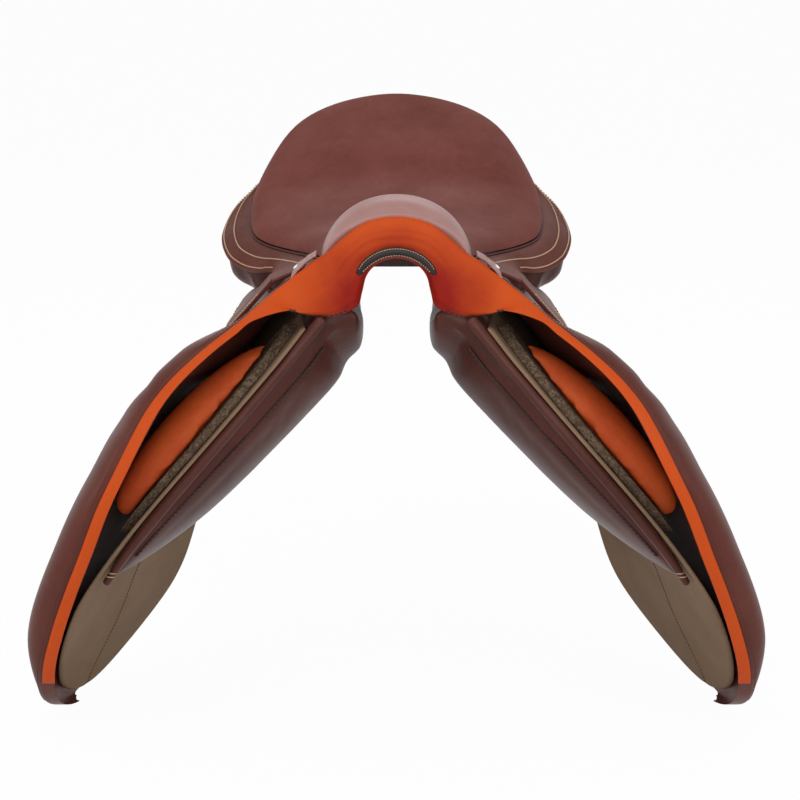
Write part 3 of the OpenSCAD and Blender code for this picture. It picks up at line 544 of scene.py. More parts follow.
def seam_line(face, back, inset, first=0, last=None, from_end=False):
    """Points and normals of a line at a stated distance inside a sheet's first or last column."""
    face, back = np.array(face, float), np.array(back, float)
    points, normals = [], []
    for r in range(len(face))[first:last]:
        row, under = (face[r][::-1], back[r][::-1]) if from_end else (face[r], back[r])
        run = measured(row)
        at = min(inset, run[-1] * 0.5)
        point = np.array([np.interp(at, run, row[:, k]) for k in range(3)])
        below = np.array([np.interp(at, run, under[:, k]) for k in range(3)])
        normal = point - below
        points.append(point)
        normals.append(normal / max(1e-9, np.linalg.norm(normal)))
    return points, normals


def edge_rows(face, back, inset, first, last, **thread):
    """Stitches at a stated distance inside both long edges of a sheet."""
    return [
        stitches(*seam_line(face, back, inset, first, last, from_end), **thread)
        for from_end in (False, True)
    ]


print("thread tools ready")

# %% [markdown]
# ## Pairs and dressing
#
# A saddle is the same on both sides, so the left piece is made and the right one is its mirror
# twin. Dressing a piece says which solids it stands for, which body carries it and what it is
# finished in.

# %% Pairs


def other_side(obj, name):
    mesh = obj.data.copy()
    mesh.transform(Matrix.Scale(-1, 4, (1, 0, 0)))
    mesh.flip_normals()
    twin = bpy.data.objects.new(name, mesh)
    scene.collection.objects.link(twin)
    return twin


def finish_of(obj, *materials):
    obj.data.materials.clear()
    for material in materials:
        obj.data.materials.append(material)
    return obj


def pair(left, *materials):
    """(side, piece) for the left piece and its mirror twin, both in their finishes."""
    finish_of(left, *materials)
    base = left.name
    right = other_side(left, base + "_right")
    left.name = base + "_left"
    return (("left", left), ("right", right))


def placed(obj, body="saddle", stands_for=()):
    """The piece rides on its body and hides the solids that it stands for."""
    if stands_for:
        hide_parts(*stands_for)
    if body:
        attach(obj, body)
    return obj


def applied(obj):
    """The piece's mesh with its modifiers worked in, and none left on it."""
    seen = obj.evaluated_get(bpy.context.evaluated_depsgraph_get())
    mesh = bpy.data.meshes.new_from_object(seen)
    obj.modifiers.clear()
    obj.data = mesh
    return obj


def rounded_off(obj, levels=1):
    obj.modifiers.new("Rounding", "SUBSURF").levels = levels
    obj.modifiers["Rounding"].render_levels = levels
    return applied(obj)


print("dressing tools ready")

# %% [markdown]
# ## Padding that swells
#
# Flocking pushes the leather out until its skin is tight. Blender's Cloth does the same with a
# little pressure from inside, no gravity, and a start slightly smaller than the finished pad. How
# far a point may go is limited, so that the pad stays in its place between its neighbours. The knee
# blocks and the panels are made so.

# %% Padding
CLOTH_FRAMES = 20


def filled(obj, voxel, pressure, reach, shrink, hold=None):
    """Blows a padded piece up as cloth. hold(point) says how firmly a point keeps its place."""
    remesh = obj.modifiers.new("Remesh", "REMESH")
    remesh.mode, remesh.voxel_size, remesh.use_smooth_shade = "VOXEL", voxel * MM, True
    applied(obj)
    smooth = obj.modifiers.new("Smooth", "SMOOTH")
    smooth.factor, smooth.iterations = 0.5, 2
    applied(obj)
    count = len(obj.data.vertices)
    start = np.zeros(count * 3)
    normals = np.zeros(count * 3)
    obj.data.vertices.foreach_get("co", start)
    obj.data.vertices.foreach_get("normal", normals)
    start, normals = start.reshape(-1, 3), normals.reshape(-1, 3)
    firm = np.array([hold(p / MM) if hold else 0.0 for p in start])
    start = start - normals * shrink * MM * (1 - firm)[:, None]
    obj.data.vertices.foreach_set("co", start.ravel())
    pins = obj.vertex_groups.new(name="held")
    for i, weight in enumerate(firm):
        pins.add([i], float(weight), "REPLACE")
    cloth = obj.modifiers.new("Cloth", "CLOTH")
    setup = cloth.settings
    setup.quality, setup.mass = 6, 0.3
    setup.tension_stiffness = setup.compression_stiffness = 25
    setup.shear_stiffness, setup.bending_stiffness = 10, 2.5
    setup.use_pressure, setup.uniform_pressure_force = True, pressure
    setup.effector_weights.gravity = 0
    setup.vertex_group_mass = "held"
    cloth.collision_settings.use_collision = False
    cloth.collision_settings.use_self_collision = False
    cloth.point_cache.frame_start, cloth.point_cache.frame_end = 1, CLOTH_FRAMES
    for number in range(1, CLOTH_FRAMES + 1):
        scene.frame_set(number)
    seen = obj.evaluated_get(bpy.context.evaluated_depsgraph_get())
    swollen = np.array([v.co for v in seen.data.vertices], float)
    move = swollen - start
    length = np.linalg.norm(move, axis=1, keepdims=True)
    move *= np.minimum(1, reach * MM / np.maximum(length, 1e-9))
    obj.modifiers.clear()
    obj.vertex_groups.clear()
    obj.data.vertices.foreach_set("co", (start + move).ravel())
    scene.frame_set(1)
    print(obj.name, count, "points, moved", round(float(length.max() / MM), 1), "mm at most")
    return rounded_off(obj)


print("padding is simulated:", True)

# %% [markdown]
# ## Writing a finish as sums
#
# A finish is a tree of nodes. Wired by hand it is long, so one small class wraps a node's output
# and lets the usual signs add Math nodes. One method of the finish adds every other node.

# %% Wires and finishes


class Wire:
    """A node's output as a number that varies over the surface."""

    def __init__(self, finish, socket):
        self.finish, self.socket = finish, socket

    def math(self, operation, a, b):
        return self.finish.node("Math", {"operation": operation}, {0: a, 1: b})

    def __add__(self, other):
        return self.math("ADD", self, other)

    __radd__ = __add__

    def __mul__(self, other):
        return self.math("MULTIPLY", self, other)

    __rmul__ = __mul__

    def __sub__(self, other):
        return self.math("SUBTRACT", self, other)

    def __rsub__(self, other):
        return self.math("SUBTRACT", other, self)

    def within(self):
        return self.finish.node("Clamp", {}, {"Value": self})


class Finish:
    """A material under way. Constants go straight onto its shader's sockets."""

    def __init__(self, name, **constants):
        self.material = bpy.data.materials.new(name)
        self.material.use_nodes = True
        self.tree = self.material.node_tree
        self.shader = self.tree.nodes["Principled BSDF"]
        for words, value in constants.items():
            self.shader.inputs[words.replace("_", " ").title()].default_value = value

    def node(self, kind, settings=None, sockets=None, out=0):
        made = self.tree.nodes.new("ShaderNode" + kind)
        for name, value in (settings or {}).items():
            setattr(made, name, value)
        for name, value in (sockets or {}).items():
            self.feed(made.inputs[name], value)
        return Wire(self, made.outputs[out])

    def feed(self, socket, value):
        if isinstance(value, Wire):
            self.tree.links.new(value.socket, socket)
        else:
            socket.default_value = value

    def blend(self, first, second, share):
        """Colour between two colours."""
        return self.node(
            "Mix", {"data_type": "RGBA"}, {0: share, 6: colour(first), 7: colour(second)}, out=2
        )

    def set(self, **values):
        for words, value in values.items():
            self.feed(self.shader.inputs[words.replace("_", " ").title()], value)
        return self

    def bumped(self, height, depth):
        """Raises the surface by depth, in millimetres, where height is 1."""
        raised = self.node("Bump", {}, {"Strength": 1.0, "Distance": depth * MM, "Height": height})
        return self.set(normal=raised)


def colour(value):
    return value if isinstance(value, Wire) or len(value) == 4 else (*value, 1.0)


print("finish tools ready")

# %% [markdown]
# ## Leather
#
# Calf leather has a fine pebbled grain, a slow cloudiness from the dye, and a waxed sheen that is
# a little uneven. Edges that are touched most go paler. The grain is a Voronoi pattern with a
# finer noise over it; the cloud mixes two tones of the same dye; wear follows the ridges.

# %% Leather


def leather(name, tone, deep, rough=0.46, grain=0.12, coat=0.1, cloud_size=14.0):
    finish = Finish(name, coat_roughness=0.34)
    finish.shader.inputs["Specular IOR Level"].default_value = 0.12
    place = finish.node("TexCoord", out="Object")
    cloud = finish.node(
        "TexNoise", {}, {"Vector": place, "Scale": cloud_size, "Detail": 5.0, "Roughness": 0.62}
    )
    pebble = finish.node("TexVoronoi", {}, {"Vector": place, "Scale": 620.0}, out="Distance")
    fine = finish.node("TexNoise", {}, {"Vector": place, "Scale": 1500.0, "Detail": 3.0})
    pull = finish.node(
        "TexNoise", {}, {"Vector": place, "Scale": 90.0, "Detail": 6.0, "Distortion": 1.2}
    )
    mottle = ((cloud - 0.5) * 1.9 + (pull - 0.5) * 0.5 + 0.5).within()
    base = finish.blend(deep, tone, mottle)
    pits = ((0.42 - pebble) * 1.2).within()
    base = finish.blend(base, [c * 0.72 for c in deep], (1 - pits) * 0.16)
    ridge = finish.node("NewGeometry", out="Pointiness")
    wear = ((ridge - 0.53) * 7.0).within() * 0.5
    base = finish.blend(base, [min(1, c * 1.5 + 0.02) for c in tone], wear)
    finish.set(
        base_color=base,
        roughness=(mottle * -0.10 + (1 - pits) * 0.06 + (rough + 0.05)).within(),
        coat_weight=(coat + (cloud - 0.5) * 0.06).within(),
    )
    return finish.bumped(pits * 0.7 + fine * 0.25 + pull * 0.5, grain).material


seat_leather = leather(
    "seat_leather", (0.205, 0.058, 0.045), (0.128, 0.030, 0.021), rough=0.58, coat=0.0
)
band_leather = leather(
    "band_leather", (0.132, 0.032, 0.020), (0.090, 0.021, 0.013), rough=0.48, coat=0.015
)
flap_leather = leather(
    "flap_leather", (0.125, 0.032, 0.022), (0.082, 0.020, 0.013), rough=0.36, coat=0.05
)
panel_leather = leather(
    "panel_leather", (0.100, 0.027, 0.019), (0.048, 0.013, 0.009), rough=0.32, coat=0.07, cloud_size=9.0
)
pommel_leather = leather(
    "pommel_leather", (0.42, 0.235, 0.215), (0.33, 0.17, 0.155), rough=0.36, coat=0.10
)
welt_leather = leather(
    "welt_leather", (0.100, 0.030, 0.022), (0.058, 0.017, 0.012), rough=0.34, coat=0.07
)
strap_leather = leather(
    "strap_leather", (0.075, 0.026, 0.020), (0.045, 0.016, 0.012), rough=0.5, coat=0.04
)
block_leather = leather(
    "block_leather", (0.56, 0.100, 0.020), (0.40, 0.050, 0.012), rough=0.55, coat=0.02
)
lining_leather = leather(
    "lining_leather", (0.085, 0.047, 0.033), (0.060, 0.032, 0.022), rough=0.58, coat=0.03
)
print("brown leathers:", seat_leather.name, flap_leather.name, panel_leather.name)

# %% [markdown]
# ## Orange leather
#
# The facing over the head is orange, and runs to a deep red towards the inside of the arch: this is
# painted shade, where the arch turns under, away from the light. The painted shade follows the height
# and the distance from the arch's middle: a Vector Math length of the place across the saddle gives it.

# %% Orange leather


def orange_leather():
    finish = Finish("orange_leather", coat_roughness=0.4)
    finish.shader.inputs["Specular IOR Level"].default_value = 0.08
    place = finish.node("TexCoord", out="Object")
    centred = finish.node(
        "VectorMath", {"operation": "SUBTRACT"}, {0: place, 1: (0.0, -0.215, 0.052)}
    )
    flattened = finish.node(
        "VectorMath", {"operation": "MULTIPLY"}, {0: centred, 1: (0.82, 0.0, 1.0)}
    )
    away = finish.node("VectorMath", {"operation": "LENGTH"}, {0: flattened}, out="Value")
    cloud = finish.node("TexNoise", {}, {"Vector": place, "Scale": 30.0, "Detail": 4.0})
    pebble = finish.node("TexVoronoi", {}, {"Vector": place, "Scale": 700.0}, out="Distance")
    fine = finish.node("TexNoise", {}, {"Vector": place, "Scale": 1600.0, "Detail": 3.0})
    # Painted shade: this mask darkens the orange to a deep red close to the arch's middle, inside the arch.
    out_of_painted_shade = ((away - 0.034) * 26.0 + (cloud - 0.5) * 0.7).within()
    base = finish.blend((0.24, 0.010, 0.005), (0.50, 0.066, 0.008), out_of_painted_shade)
    shade = ((cloud - 0.42) * 1.6).within() * 0.3
    base = finish.blend(base, (0.42, 0.040, 0.006), shade)
    ridge = finish.node("NewGeometry", out="Pointiness")
    base = finish.blend(base, (0.60, 0.12, 0.02), ((ridge - 0.54) * 6.0).within() * 0.4)
    finish.set(
        base_color=base,
        roughness=(0.56 - out_of_painted_shade * 0.08 + fine * 0.06).within(),
        coat_weight=(0.02 + cloud * 0.02).within(),
    )
    return finish.bumped((0.45 - pebble) * 0.8 + fine * 0.3, 0.10).material


facing_leather = orange_leather()
print("orange leather made")

# %% [markdown]
# ## Khaki leather and felt
#
# The sweat flap's inner side is a matt khaki split leather, brushed in one direction. The hook
# board's edge is felt: short fibres that scatter light, so its bump is coarse and its tone mixes
# pale and dark hairs.

# %% Khaki leather and felt


def split_leather(name, tone, deep):
    finish = Finish(name)
    finish.shader.inputs["Specular IOR Level"].default_value = 0.08
    place = finish.node("TexCoord", out="Object")
    brushed = finish.node(
        "VectorMath", {"operation": "MULTIPLY"}, {0: place, 1: (60.0, 420.0, 60.0)}
    )
    streak = finish.node("TexNoise", {}, {"Vector": brushed, "Scale": 1.0, "Detail": 4.0})
    cloud = finish.node("TexNoise", {}, {"Vector": place, "Scale": 18.0, "Detail": 4.0})
    fine = finish.node("TexNoise", {}, {"Vector": place, "Scale": 1300.0, "Detail": 2.0})
    base = finish.blend(deep, tone, ((cloud - 0.5) * 1.5 + (streak - 0.5) * 0.8 + 0.5).within())
    finish.set(base_color=base, roughness=(0.62 + fine * 0.12).within())
    return finish.bumped(streak * 0.5 + fine * 0.7, 0.12).material


def felt(name, tone, hair):
    finish = Finish(name)
    finish.shader.inputs["Specular IOR Level"].default_value = 0.15
    place = finish.node("TexCoord", out="Object")
    tuft = finish.node(
        "TexNoise", {}, {"Vector": place, "Scale": 420.0, "Detail": 6.0, "Roughness": 0.75}
    )
    clump = finish.node("TexNoise", {}, {"Vector": place, "Scale": 120.0, "Detail": 3.0})
    base = finish.blend(tone, hair, ((tuft - 0.45) * 3.2).within())
    base = finish.blend(base, [c * 0.45 for c in tone], ((clump - 0.52) * 4.0).within() * 0.6)
    finish.set(base_color=base, roughness=(0.86 + tuft * 0.1).within())
    return finish.bumped(tuft + clump * 0.6, 0.9).material


khaki_leather = split_leather("khaki_leather", (0.240, 0.156, 0.097), (0.176, 0.110, 0.066))
board_felt = felt("board_felt", (0.070, 0.042, 0.025), (0.30, 0.22, 0.15))
lining_felt = felt("lining_felt", (0.050, 0.032, 0.023), (0.12, 0.085, 0.06))
print("khaki finishes:", khaki_leather.name, board_felt.name)

# %% [markdown]
# ## Thread, edge paint and webbing
#
# Linen thread is two twisted plies, so a fine wave runs along it. Edge paint is a dark, slightly
# glossy lacquer with dust in it. Webbing is woven: a checker of warp and weft with rounded tops.

# %% Thread, paint and webbing


def thread(name, tone, dark):
    finish = Finish(name)
    place = finish.node("TexCoord", out="Object")
    ply = finish.node(
        "TexWave", {}, {"Vector": place, "Scale": 420.0, "Distortion": 3.0, "Detail": 2.0}, out=1
    )
    finish.set(base_color=finish.blend(dark, tone, ply), roughness=(0.55 + ply * 0.2).within())
    return finish.bumped(ply, 0.15).material


def edge_paint(name, tone):
    finish = Finish(name)
    place = finish.node("TexCoord", out="Object")
    dust = finish.node("TexNoise", {}, {"Vector": place, "Scale": 220.0, "Detail": 5.0})
    base = finish.blend(tone, [c * 2.1 for c in tone], ((dust - 0.5) * 3.0).within() * 0.5)
    finish.set(base_color=base, roughness=(0.34 + dust * 0.25).within())
    return finish.bumped(dust, 0.12).material


def webbing(name, tone, dark):
    finish = Finish(name)
    place = finish.node("TexCoord", out="Object")
    weave = finish.node("TexChecker", {}, {"Vector": place, "Scale": 520.0}, out=1)
    hairs = finish.node("TexNoise", {}, {"Vector": place, "Scale": 900.0, "Detail": 3.0})
    base = finish.blend(dark, tone, (weave * 0.5 + hairs * 0.6).within())
    finish.set(base_color=base, roughness=(0.8 + hairs * 0.15).within())
    return finish.bumped(weave * 0.6 + hairs * 0.6, 0.3).material


cream_thread = thread("cream_thread", (0.62, 0.43, 0.28), (0.40, 0.25, 0.15))
dark_thread = thread("dark_thread", (0.035, 0.014, 0.011), (0.015, 0.006, 0.005))
dark_edge = edge_paint("dark_edge", (0.030, 0.012, 0.009))
pale_edge = edge_paint("pale_edge", (0.16, 0.085, 0.07))
tree_webbing = webbing("webbing", (0.55, 0.50, 0.40), (0.34, 0.30, 0.23))
badge_leather = leather("badge_leather", (0.020, 0.014, 0.012), (0.011, 0.008, 0.007), rough=0.4, coat=0.2)
print("thread, paint and webbing made")

# %% [markdown]
# ## Wood, steel and chrome
#
# The tree is laminated beech under varnish, its springs and bars are forged or rolled steel, and
# the nails and dees are chromed. These solids have their true shape, so they only get a finish.

# %% Wood and metal


def beech(name):
    finish = Finish(name, coat_roughness=0.2, coat_weight=0.3)
    place = finish.node("TexCoord", out="Object")
    stretched = finish.node(
        "VectorMath", {"operation": "MULTIPLY"}, {0: place, 1: (120.0, 9.0, 300.0)}
    )
    grain = finish.node("TexNoise", {}, {"Vector": stretched, "Scale": 1.0, "Detail": 5.0})
    plies = finish.node("TexWave", {"bands_direction": "Z"}, {"Vector": place, "Scale": 260.0}, out=1)
    base = finish.blend((0.30, 0.16, 0.07), (0.52, 0.33, 0.17), grain)
    base = finish.blend(base, (0.20, 0.10, 0.045), plies * 0.25)
    finish.set(base_color=base, roughness=(0.42 + grain * 0.15).within())
    return finish.bumped(grain + plies * 0.3, 0.15).material


def metal(name, tone, rough, scratch):
    finish = Finish(name, metallic=1.0)
    place = finish.node("TexCoord", out="Object")
    worn = finish.node("TexNoise", {}, {"Vector": place, "Scale": 70.0, "Detail": 6.0})
    fine = finish.node("TexNoise", {}, {"Vector": place, "Scale": 1100.0, "Detail": 2.0})
    base = finish.blend(tone, [c * 0.62 for c in tone], ((worn - 0.5) * 2.0).within())
    finish.set(base_color=base, roughness=(rough + (worn - 0.5) * scratch + fine * 0.04).within())
    return finish.bumped(fine * 0.6 + worn * 0.4, 0.04).material


tree_wood = beech("tree_wood")
chrome = metal("chrome", (0.86, 0.86, 0.88), 0.10, 0.16)
forged_steel = metal("steel", (0.55, 0.54, 0.53), 0.34, 0.3)
spring_steel = metal("tree_iron", (0.30, 0.30, 0.31), 0.42, 0.3)
METAL_AND_WOOD = {
    "head_arch": tree_wood,
    "tree_rail": tree_wood,
    "cantle_board": tree_wood,
    "head_plate": spring_steel,
    "rail_spring": spring_steel,
    "tree_rivets": forged_steel,
    "stirrup_bar": forged_steel,
    "bar_catch": forged_steel,
    "catch_pins": forged_steel,
    "saddle_nails": chrome,
    "front_dee": chrome,
    "seat_webs": tree_webbing,
}
dressed = 0
for name, node in frame["nodes"].items():
    for base, material in METAL_AND_WOOD.items():
        if name.startswith(base):
            for holder in node.material_slots:
                holder.material = material
            dressed += 1
print("solids in their own finish:", dressed)

# %% [markdown]
# ## The seat
#
# The seat is foam under tight leather. Its skin is a closed pad: a crowned face from the dome's
# curves and a back a little way inside. It is drawn tight by those curves alone, so it needs no
# simulation, and its rim stays where the saddler has nailed it to the tree.

# %% The seat


def half_turn(n, last):
    return [WIDEST + (CANTLE - WIDEST) * math.sin(math.radians(last * i / n)) for i in range(1, n + 1)]


seat_at = steps(SPLIT + 0.4, WIDEST, 46) + half_turn(26, 86)
seat = leather_sheet(
    "seat_pad",
    [dome_row(y, 0, 0, 64) for y in seat_at],
    [dome_row(y, 7, 11, 64) for y in seat_at],
)
finish_of(seat, seat_leather, dark_edge, lining_leather)
placed(seat, stands_for=("seat_cover", "seat_foam"))
print("seat's faces", len(seat.data.polygons))

# %% [markdown]
# ## The pommel roll
#
# A separate, glossier piece of leather is stretched over the pommel. It turns down in front behind
# the orange facing, and a crease shows where it meets the seat.

# %% The pommel roll
LIP = [(-POMMEL + 4.5, 12, 5), (-POMMEL + 1.8, 7.5, 2.5), (-POMMEL + 0.5, 3.5, 0.8), (-POMMEL, 0, 0)]


def roll_row(y, sink, cut, columns=56):
    return [[x, y, z - sink] for x, _, z in dome_row(y, cut, sink * 0.2, columns)]


roll_at = LIP + [(y, 0, 0) for y in steps(-POMMEL, SPLIT, 22)[1:]]
pommel = leather_sheet(
    "pommel_roll",
    [roll_row(y, sink, cut) for y, sink, cut in roll_at],
    [roll_row(y + 1.5 * (sink > 0), sink + 9, cut + 9) for y, sink, cut in roll_at],
)
finish_of(pommel, pommel_leather, dark_edge, lining_leather)
placed(pommel, stands_for=("pommel_cover",))
print("pommel roll's faces", len(pommel.data.polygons))

# %% [markdown]
# ## Seat bands and skirts
#
# The skirt is one piece of leather with the front of the band above it; a skirt bends when it is
# lifted, but this skin keeps one shape. The band goes on behind it round the seat. Both are grids
# across the leather: each row is a line from the seat's edge outward, spaced evenly, so that the
# fold over the skirt's hinge stays soft.

# %% Skirt and band curves
SKIRT_FRONT, SKIRT_REAR, SKIRT_Z = -172.0, -21.0, 41.0
BAND_WIDTH, SKIRT_THICK = 24.0, 3.4
SKIRT_SWELL = [[-190, 129], [-140, 125], [-60, 120], [-21, 114]]
SKIRT_LOW = [
    [-172, 63],
    [-168, 48],
    [-155, 25],
    [-137, 9],
    [-100, 5],
    [-60, 5],
    [-35, 8],
    [-21, 15],
]
BAND_SHARE = [[-21, 0.6], [20, 0.88], [50, 1.05], [90, 1.2], [125, 1.15], [150, 0.85], [166, 0.3]]
BAND_FALL = [[-21, 0.86], [20, 1.04], [50, 0.96], [90, 0.8], [125, 0.8], [166, 0.3]]


def skirt_line(y):
    return SKIRT_Z - 0.15 * (y - SKIRT_REAR)


def skirt_x(z, y):
    return curve(SKIRT_SWELL, y) + 0.87 * (SKIRT_Z - z)


def band_inner(y):
    return np.array([seat_half(y) + 0.6, edge_z(y) - 1])


def band_outer(y):
    back = np.array(
        [seat_half(y) + BAND_WIDTH * curve(BAND_SHARE, y), edge_z(y) - BAND_WIDTH * curve(BAND_FALL, y)]
    )
    front = np.array([skirt_x(skirt_line(y), y), skirt_line(y) + 0.3])
    return mix(front, back, ease((y - SKIRT_REAR - 1) / 26))


def across_leather(y, low=None, count=26):
    """Points across the leather at one station, from under the seat's edge to its own edge."""
    inner, outer = band_inner(y), band_outer(y)
    way = (outer - inner) / np.linalg.norm(outer - inner)
    square = np.array([-way[1], way[0]])
    line = [inner + np.array([-3.2, -1.6]), inner + np.array([0.2, -1.6])]
    for t in steps(0.12, 1, 8):
        point = mix(inner, outer, t) + square * (1.5 * math.sin(math.pi * t) - 1.2 * (1 - ease(t / 0.3)))
        if y < 0:
            point[1] = max(point[1], skirt_line(y) + 0.3)
        line.append(point)
    if low is not None and low < skirt_line(y) - 0.5:
        for t in steps(0, 1, 8)[1:]:
            z = mix(skirt_line(y) - 0.3, low, t)
            line.append(np.array([skirt_x(z, y), z]))
    return resample(resample(line, 60), count)


def leather_rows(stations, thick, low=None, lift=0.0):
    """Face and back grids: each row of points, and the same pushed in square to the leather."""
    face = []
    for y in stations:
        row = across_leather(y, low(y) if low else None)
        face.append([[x, y, z + lift] for x, z in row])
    face = np.array(face)
    along = np.gradient(face, axis=1)
    square = np.stack([along[..., 2], 0 * along[..., 1], -along[..., 0]], axis=-1)
    square /= np.linalg.norm(square, axis=-1, keepdims=True)
    return face, face + square * thick


def skirt_low(y):
    return curve(SKIRT_LOW, y) if y >= SKIRT_FRONT else 99.0


# %% Skirts with the front of the band
skirt_at = steps(-190, SKIRT_FRONT, 10)[:-1] + [
    mix(SKIRT_FRONT, SKIRT_REAR, 0.5 - 0.5 * math.cos(math.pi * c)) for c in steps(0, 1, 54)
]
skirt_face, skirt_back = leather_rows(skirt_at, SKIRT_THICK, skirt_low)
skirt = leather_sheet("skirt_skin", skirt_face, skirt_back)
skirt_pieces = pair(skirt, band_leather, pale_edge, lining_leather)
print("skirt's fall", round(float(skirt_face[40, -1, 2] - skirt_face[40, 0, 2]), 1))

# %% Bands behind the skirts
band_at = steps(-36, 166, 62)
band_face, band_back = leather_rows(band_at, SKIRT_THICK, lift=-0.04)
band = leather_sheet("band_skin", band_face, band_back)
band_pieces = pair(band, band_leather, pale_edge, lining_leather)
for side, piece in band_pieces:
    placed(piece, stands_for=(f"seat_band_{side}",))
print("band runs", band_at[0], "to", band_at[-1])

# %% [markdown]
# ## Two rows of cream thread
#
# One row follows the band's outer edge and turns a sharp corner down the skirt's rear edge. The
# other runs half way across and ends at the saddle nail.

# %% Band and skirt stitches
EDGE_INSET = 4.2
CREAM = {"pitch": 3.6, "thread": 0.7, "lift": 0.55}


def share_line(face, back, share_at, first=0, last=None):
    """Line across a grid's rows at a share of the leather's width."""
    face, back = np.array(face), np.array(back)
    points, normals = [], []
    for r in range(len(face))[first:last]:
        run = measured(face[r])
        at = run[-1] * share_at(r)
        point = np.array([np.interp(at, run, face[r][:, k]) for k in range(3)])
        below = np.array([np.interp(at, run, back[r][:, k]) for k in range(3)])
        points.append(point)
        normals.append((point - below) / max(1e-9, np.linalg.norm(point - below)))
    return points, normals


def turned_grid(grid):
    return np.array(grid).swapaxes(0, 1)


outer_line = seam_line(band_face, band_back, EDGE_INSET, first=8, from_end=True)
band_stitches = together("band_stitches", [stitches(*outer_line, **CREAM)])
for side, piece in pair(band_stitches, cream_thread):
    placed(piece)

rear_edge = seam_line(
    turned_grid(skirt_face), turned_grid(skirt_back), EDGE_INSET, first=13, last=25, from_end=True
)
low_edge = seam_line(skirt_face, skirt_back, EDGE_INSET, first=16, last=-2, from_end=True)
skirt_stitches = together("skirt_stitches", [stitches(*rear_edge, **CREAM), stitches(*low_edge, **CREAM)])
skirt_stitch_pieces = pair(skirt_stitches, cream_thread)


def inner_share(y):
    return curve([[-175, 0.44], [-120, 0.42], [-21, 0.50], [60, 0.55], [166, 0.5]], y)


def inner_width(y):
    """Share of the whole grid row that lies half way across the band alone."""
    low = skirt_low(y) if SKIRT_FRONT <= y <= SKIRT_REAR else None
    band_only, whole = measured(across_leather(y))[-1], measured(across_leather(y, low))[-1]
    return inner_share(y) * band_only / whole


front_inner = share_line(
    skirt_face, skirt_back, lambda r: inner_width(skirt_at[r]), first=9, last=len(skirt_at) - 3
)
rear_inner = share_line(band_face, band_back, lambda r: inner_share(band_at[r]), first=5)
inner_stitches = together("inner_stitches", [stitches(*front_inner, **CREAM), stitches(*rear_inner, **CREAM)])
for side, piece in pair(inner_stitches, cream_thread):
    placed(piece)
print("stitch lines made")

# %% [markdown]
# ## Folds where seat and band meet
#
# Under the seat's rolled edge lies a thin dark welt, and at the roll's two ends a dark seam and a
# crumpled tab of leather are tucked in beside the nail.

# %% Seat welt, roll seam and tabs
welt_path = [[seat_half(y) + 0.1, y, edge_z(y) - 1.6] for y in steps(-196, WIDEST, 90)]
welt_path += [[seat_half(y) + 0.1, y, edge_z(y) - 1.2] for y in half_turn(30, 78)]
seat_welt = together("seat_welt", [rod(welt_path, 1.1, 8)])
for side, piece in pair(seat_welt, strap_leather):
    placed(piece)


def tab_point(u, v, deep=0.0):
    """Tab beside the roll: u runs outward and down, v runs back; its folds are small waves."""
    x, z = mix(66.5, 88, u), mix(90, 69.5, u) + 3.2 * math.sin(math.pi * u)
    y = mix(-209, -186, v)
    fold = 1.1 * math.sin(9 * u + 2.2 * v) + 0.8 * math.sin(17 * u - 5 * v + 1)
    lift = 3.0 + fold * math.sin(math.pi * v) ** 0.5 - deep
    return [x + 0.6 * lift, y - 0.35 * lift, z + 0.72 * lift]


tab_rows, tab_columns = steps(0, 1, 26), steps(0, 1, 18)
tab = leather_sheet(
    "roll_tab",
    grid_of(tab_rows, tab_columns, lambda u, v: tab_point(u, v)),
    grid_of(tab_rows, tab_columns, lambda u, v: tab_point(u, v, 2.2)),
)
for side, piece in pair(tab, pommel_leather, dark_edge, lining_leather):
    placed(piece)
seam_path = [[seat_half(y) + 0.9, y, edge_z(y) + 1.5] for y in steps(-POMMEL, SPLIT, 24)]
roll_seam = together("roll_seam", [rod(seam_path, 1.3, 8)])
for side, piece in pair(roll_seam, dark_edge):
    placed(piece)
print("tabs and welts made")

# %% [markdown]
# ## The orange facing
#
# One band of leather faces the pommel's arch and runs on down each flap's front edge as a narrow
# strip. It is made in two halves that meet on the centre line, each following a spine of
# stations: an outer edge, an inner edge and a depth. Soft creases run along it over the head.

# %% The facing's stations
HEAD_INNER = [
    [0, 89],
    [15, 84.8],
    [25, 74.7],
    [29, 60],
    [33, 48],
    [50, 39.5],
    [62, 38.5],
    [77, 41],
    [90, 46.5],
]
HEAD_SHOULDER = [[0, 0.5], [0.42, 5.5], [0.75, 20], [0.94, 31]]
HEAD_LEVELS = [88, 80, 72, 62, 52]
HEAD_THICK, STRIP_THICK = 6.5, 2.6


def facing_station(i):
    """[outer x, outer z, inner x, inner z, front y, back y] at a station of the head."""
    if i < 4:
        ox = seat_half(-POMMEL) * HEAD_SHOULDER[i][0]
        oz = crown_z(-POMMEL) - HEAD_SHOULDER[i][1]
        back = -POMMEL - CLEAR
    else:
        oz = HEAD_LEVELS[i - 4]
        ox = side_x(oz, -POMMEL) + curve(FRONT_STAND, oz)
        back = flap_front_y(oz) - CLEAR
    front = back - mix(HEAD_THICK, STRIP_THICK, ease((i - 4) / 4))
    return [ox, oz, *HEAD_INNER[i], front, back]


def strip_station(z):
    back = flap_front_y(z) - CLEAR
    out = side_x(z, back) + flap_out(z, flap_front_y(z))
    return [out - 0.3, z, out - FACING_WIDTH + 0.3, z, back - STRIP_THICK, back]


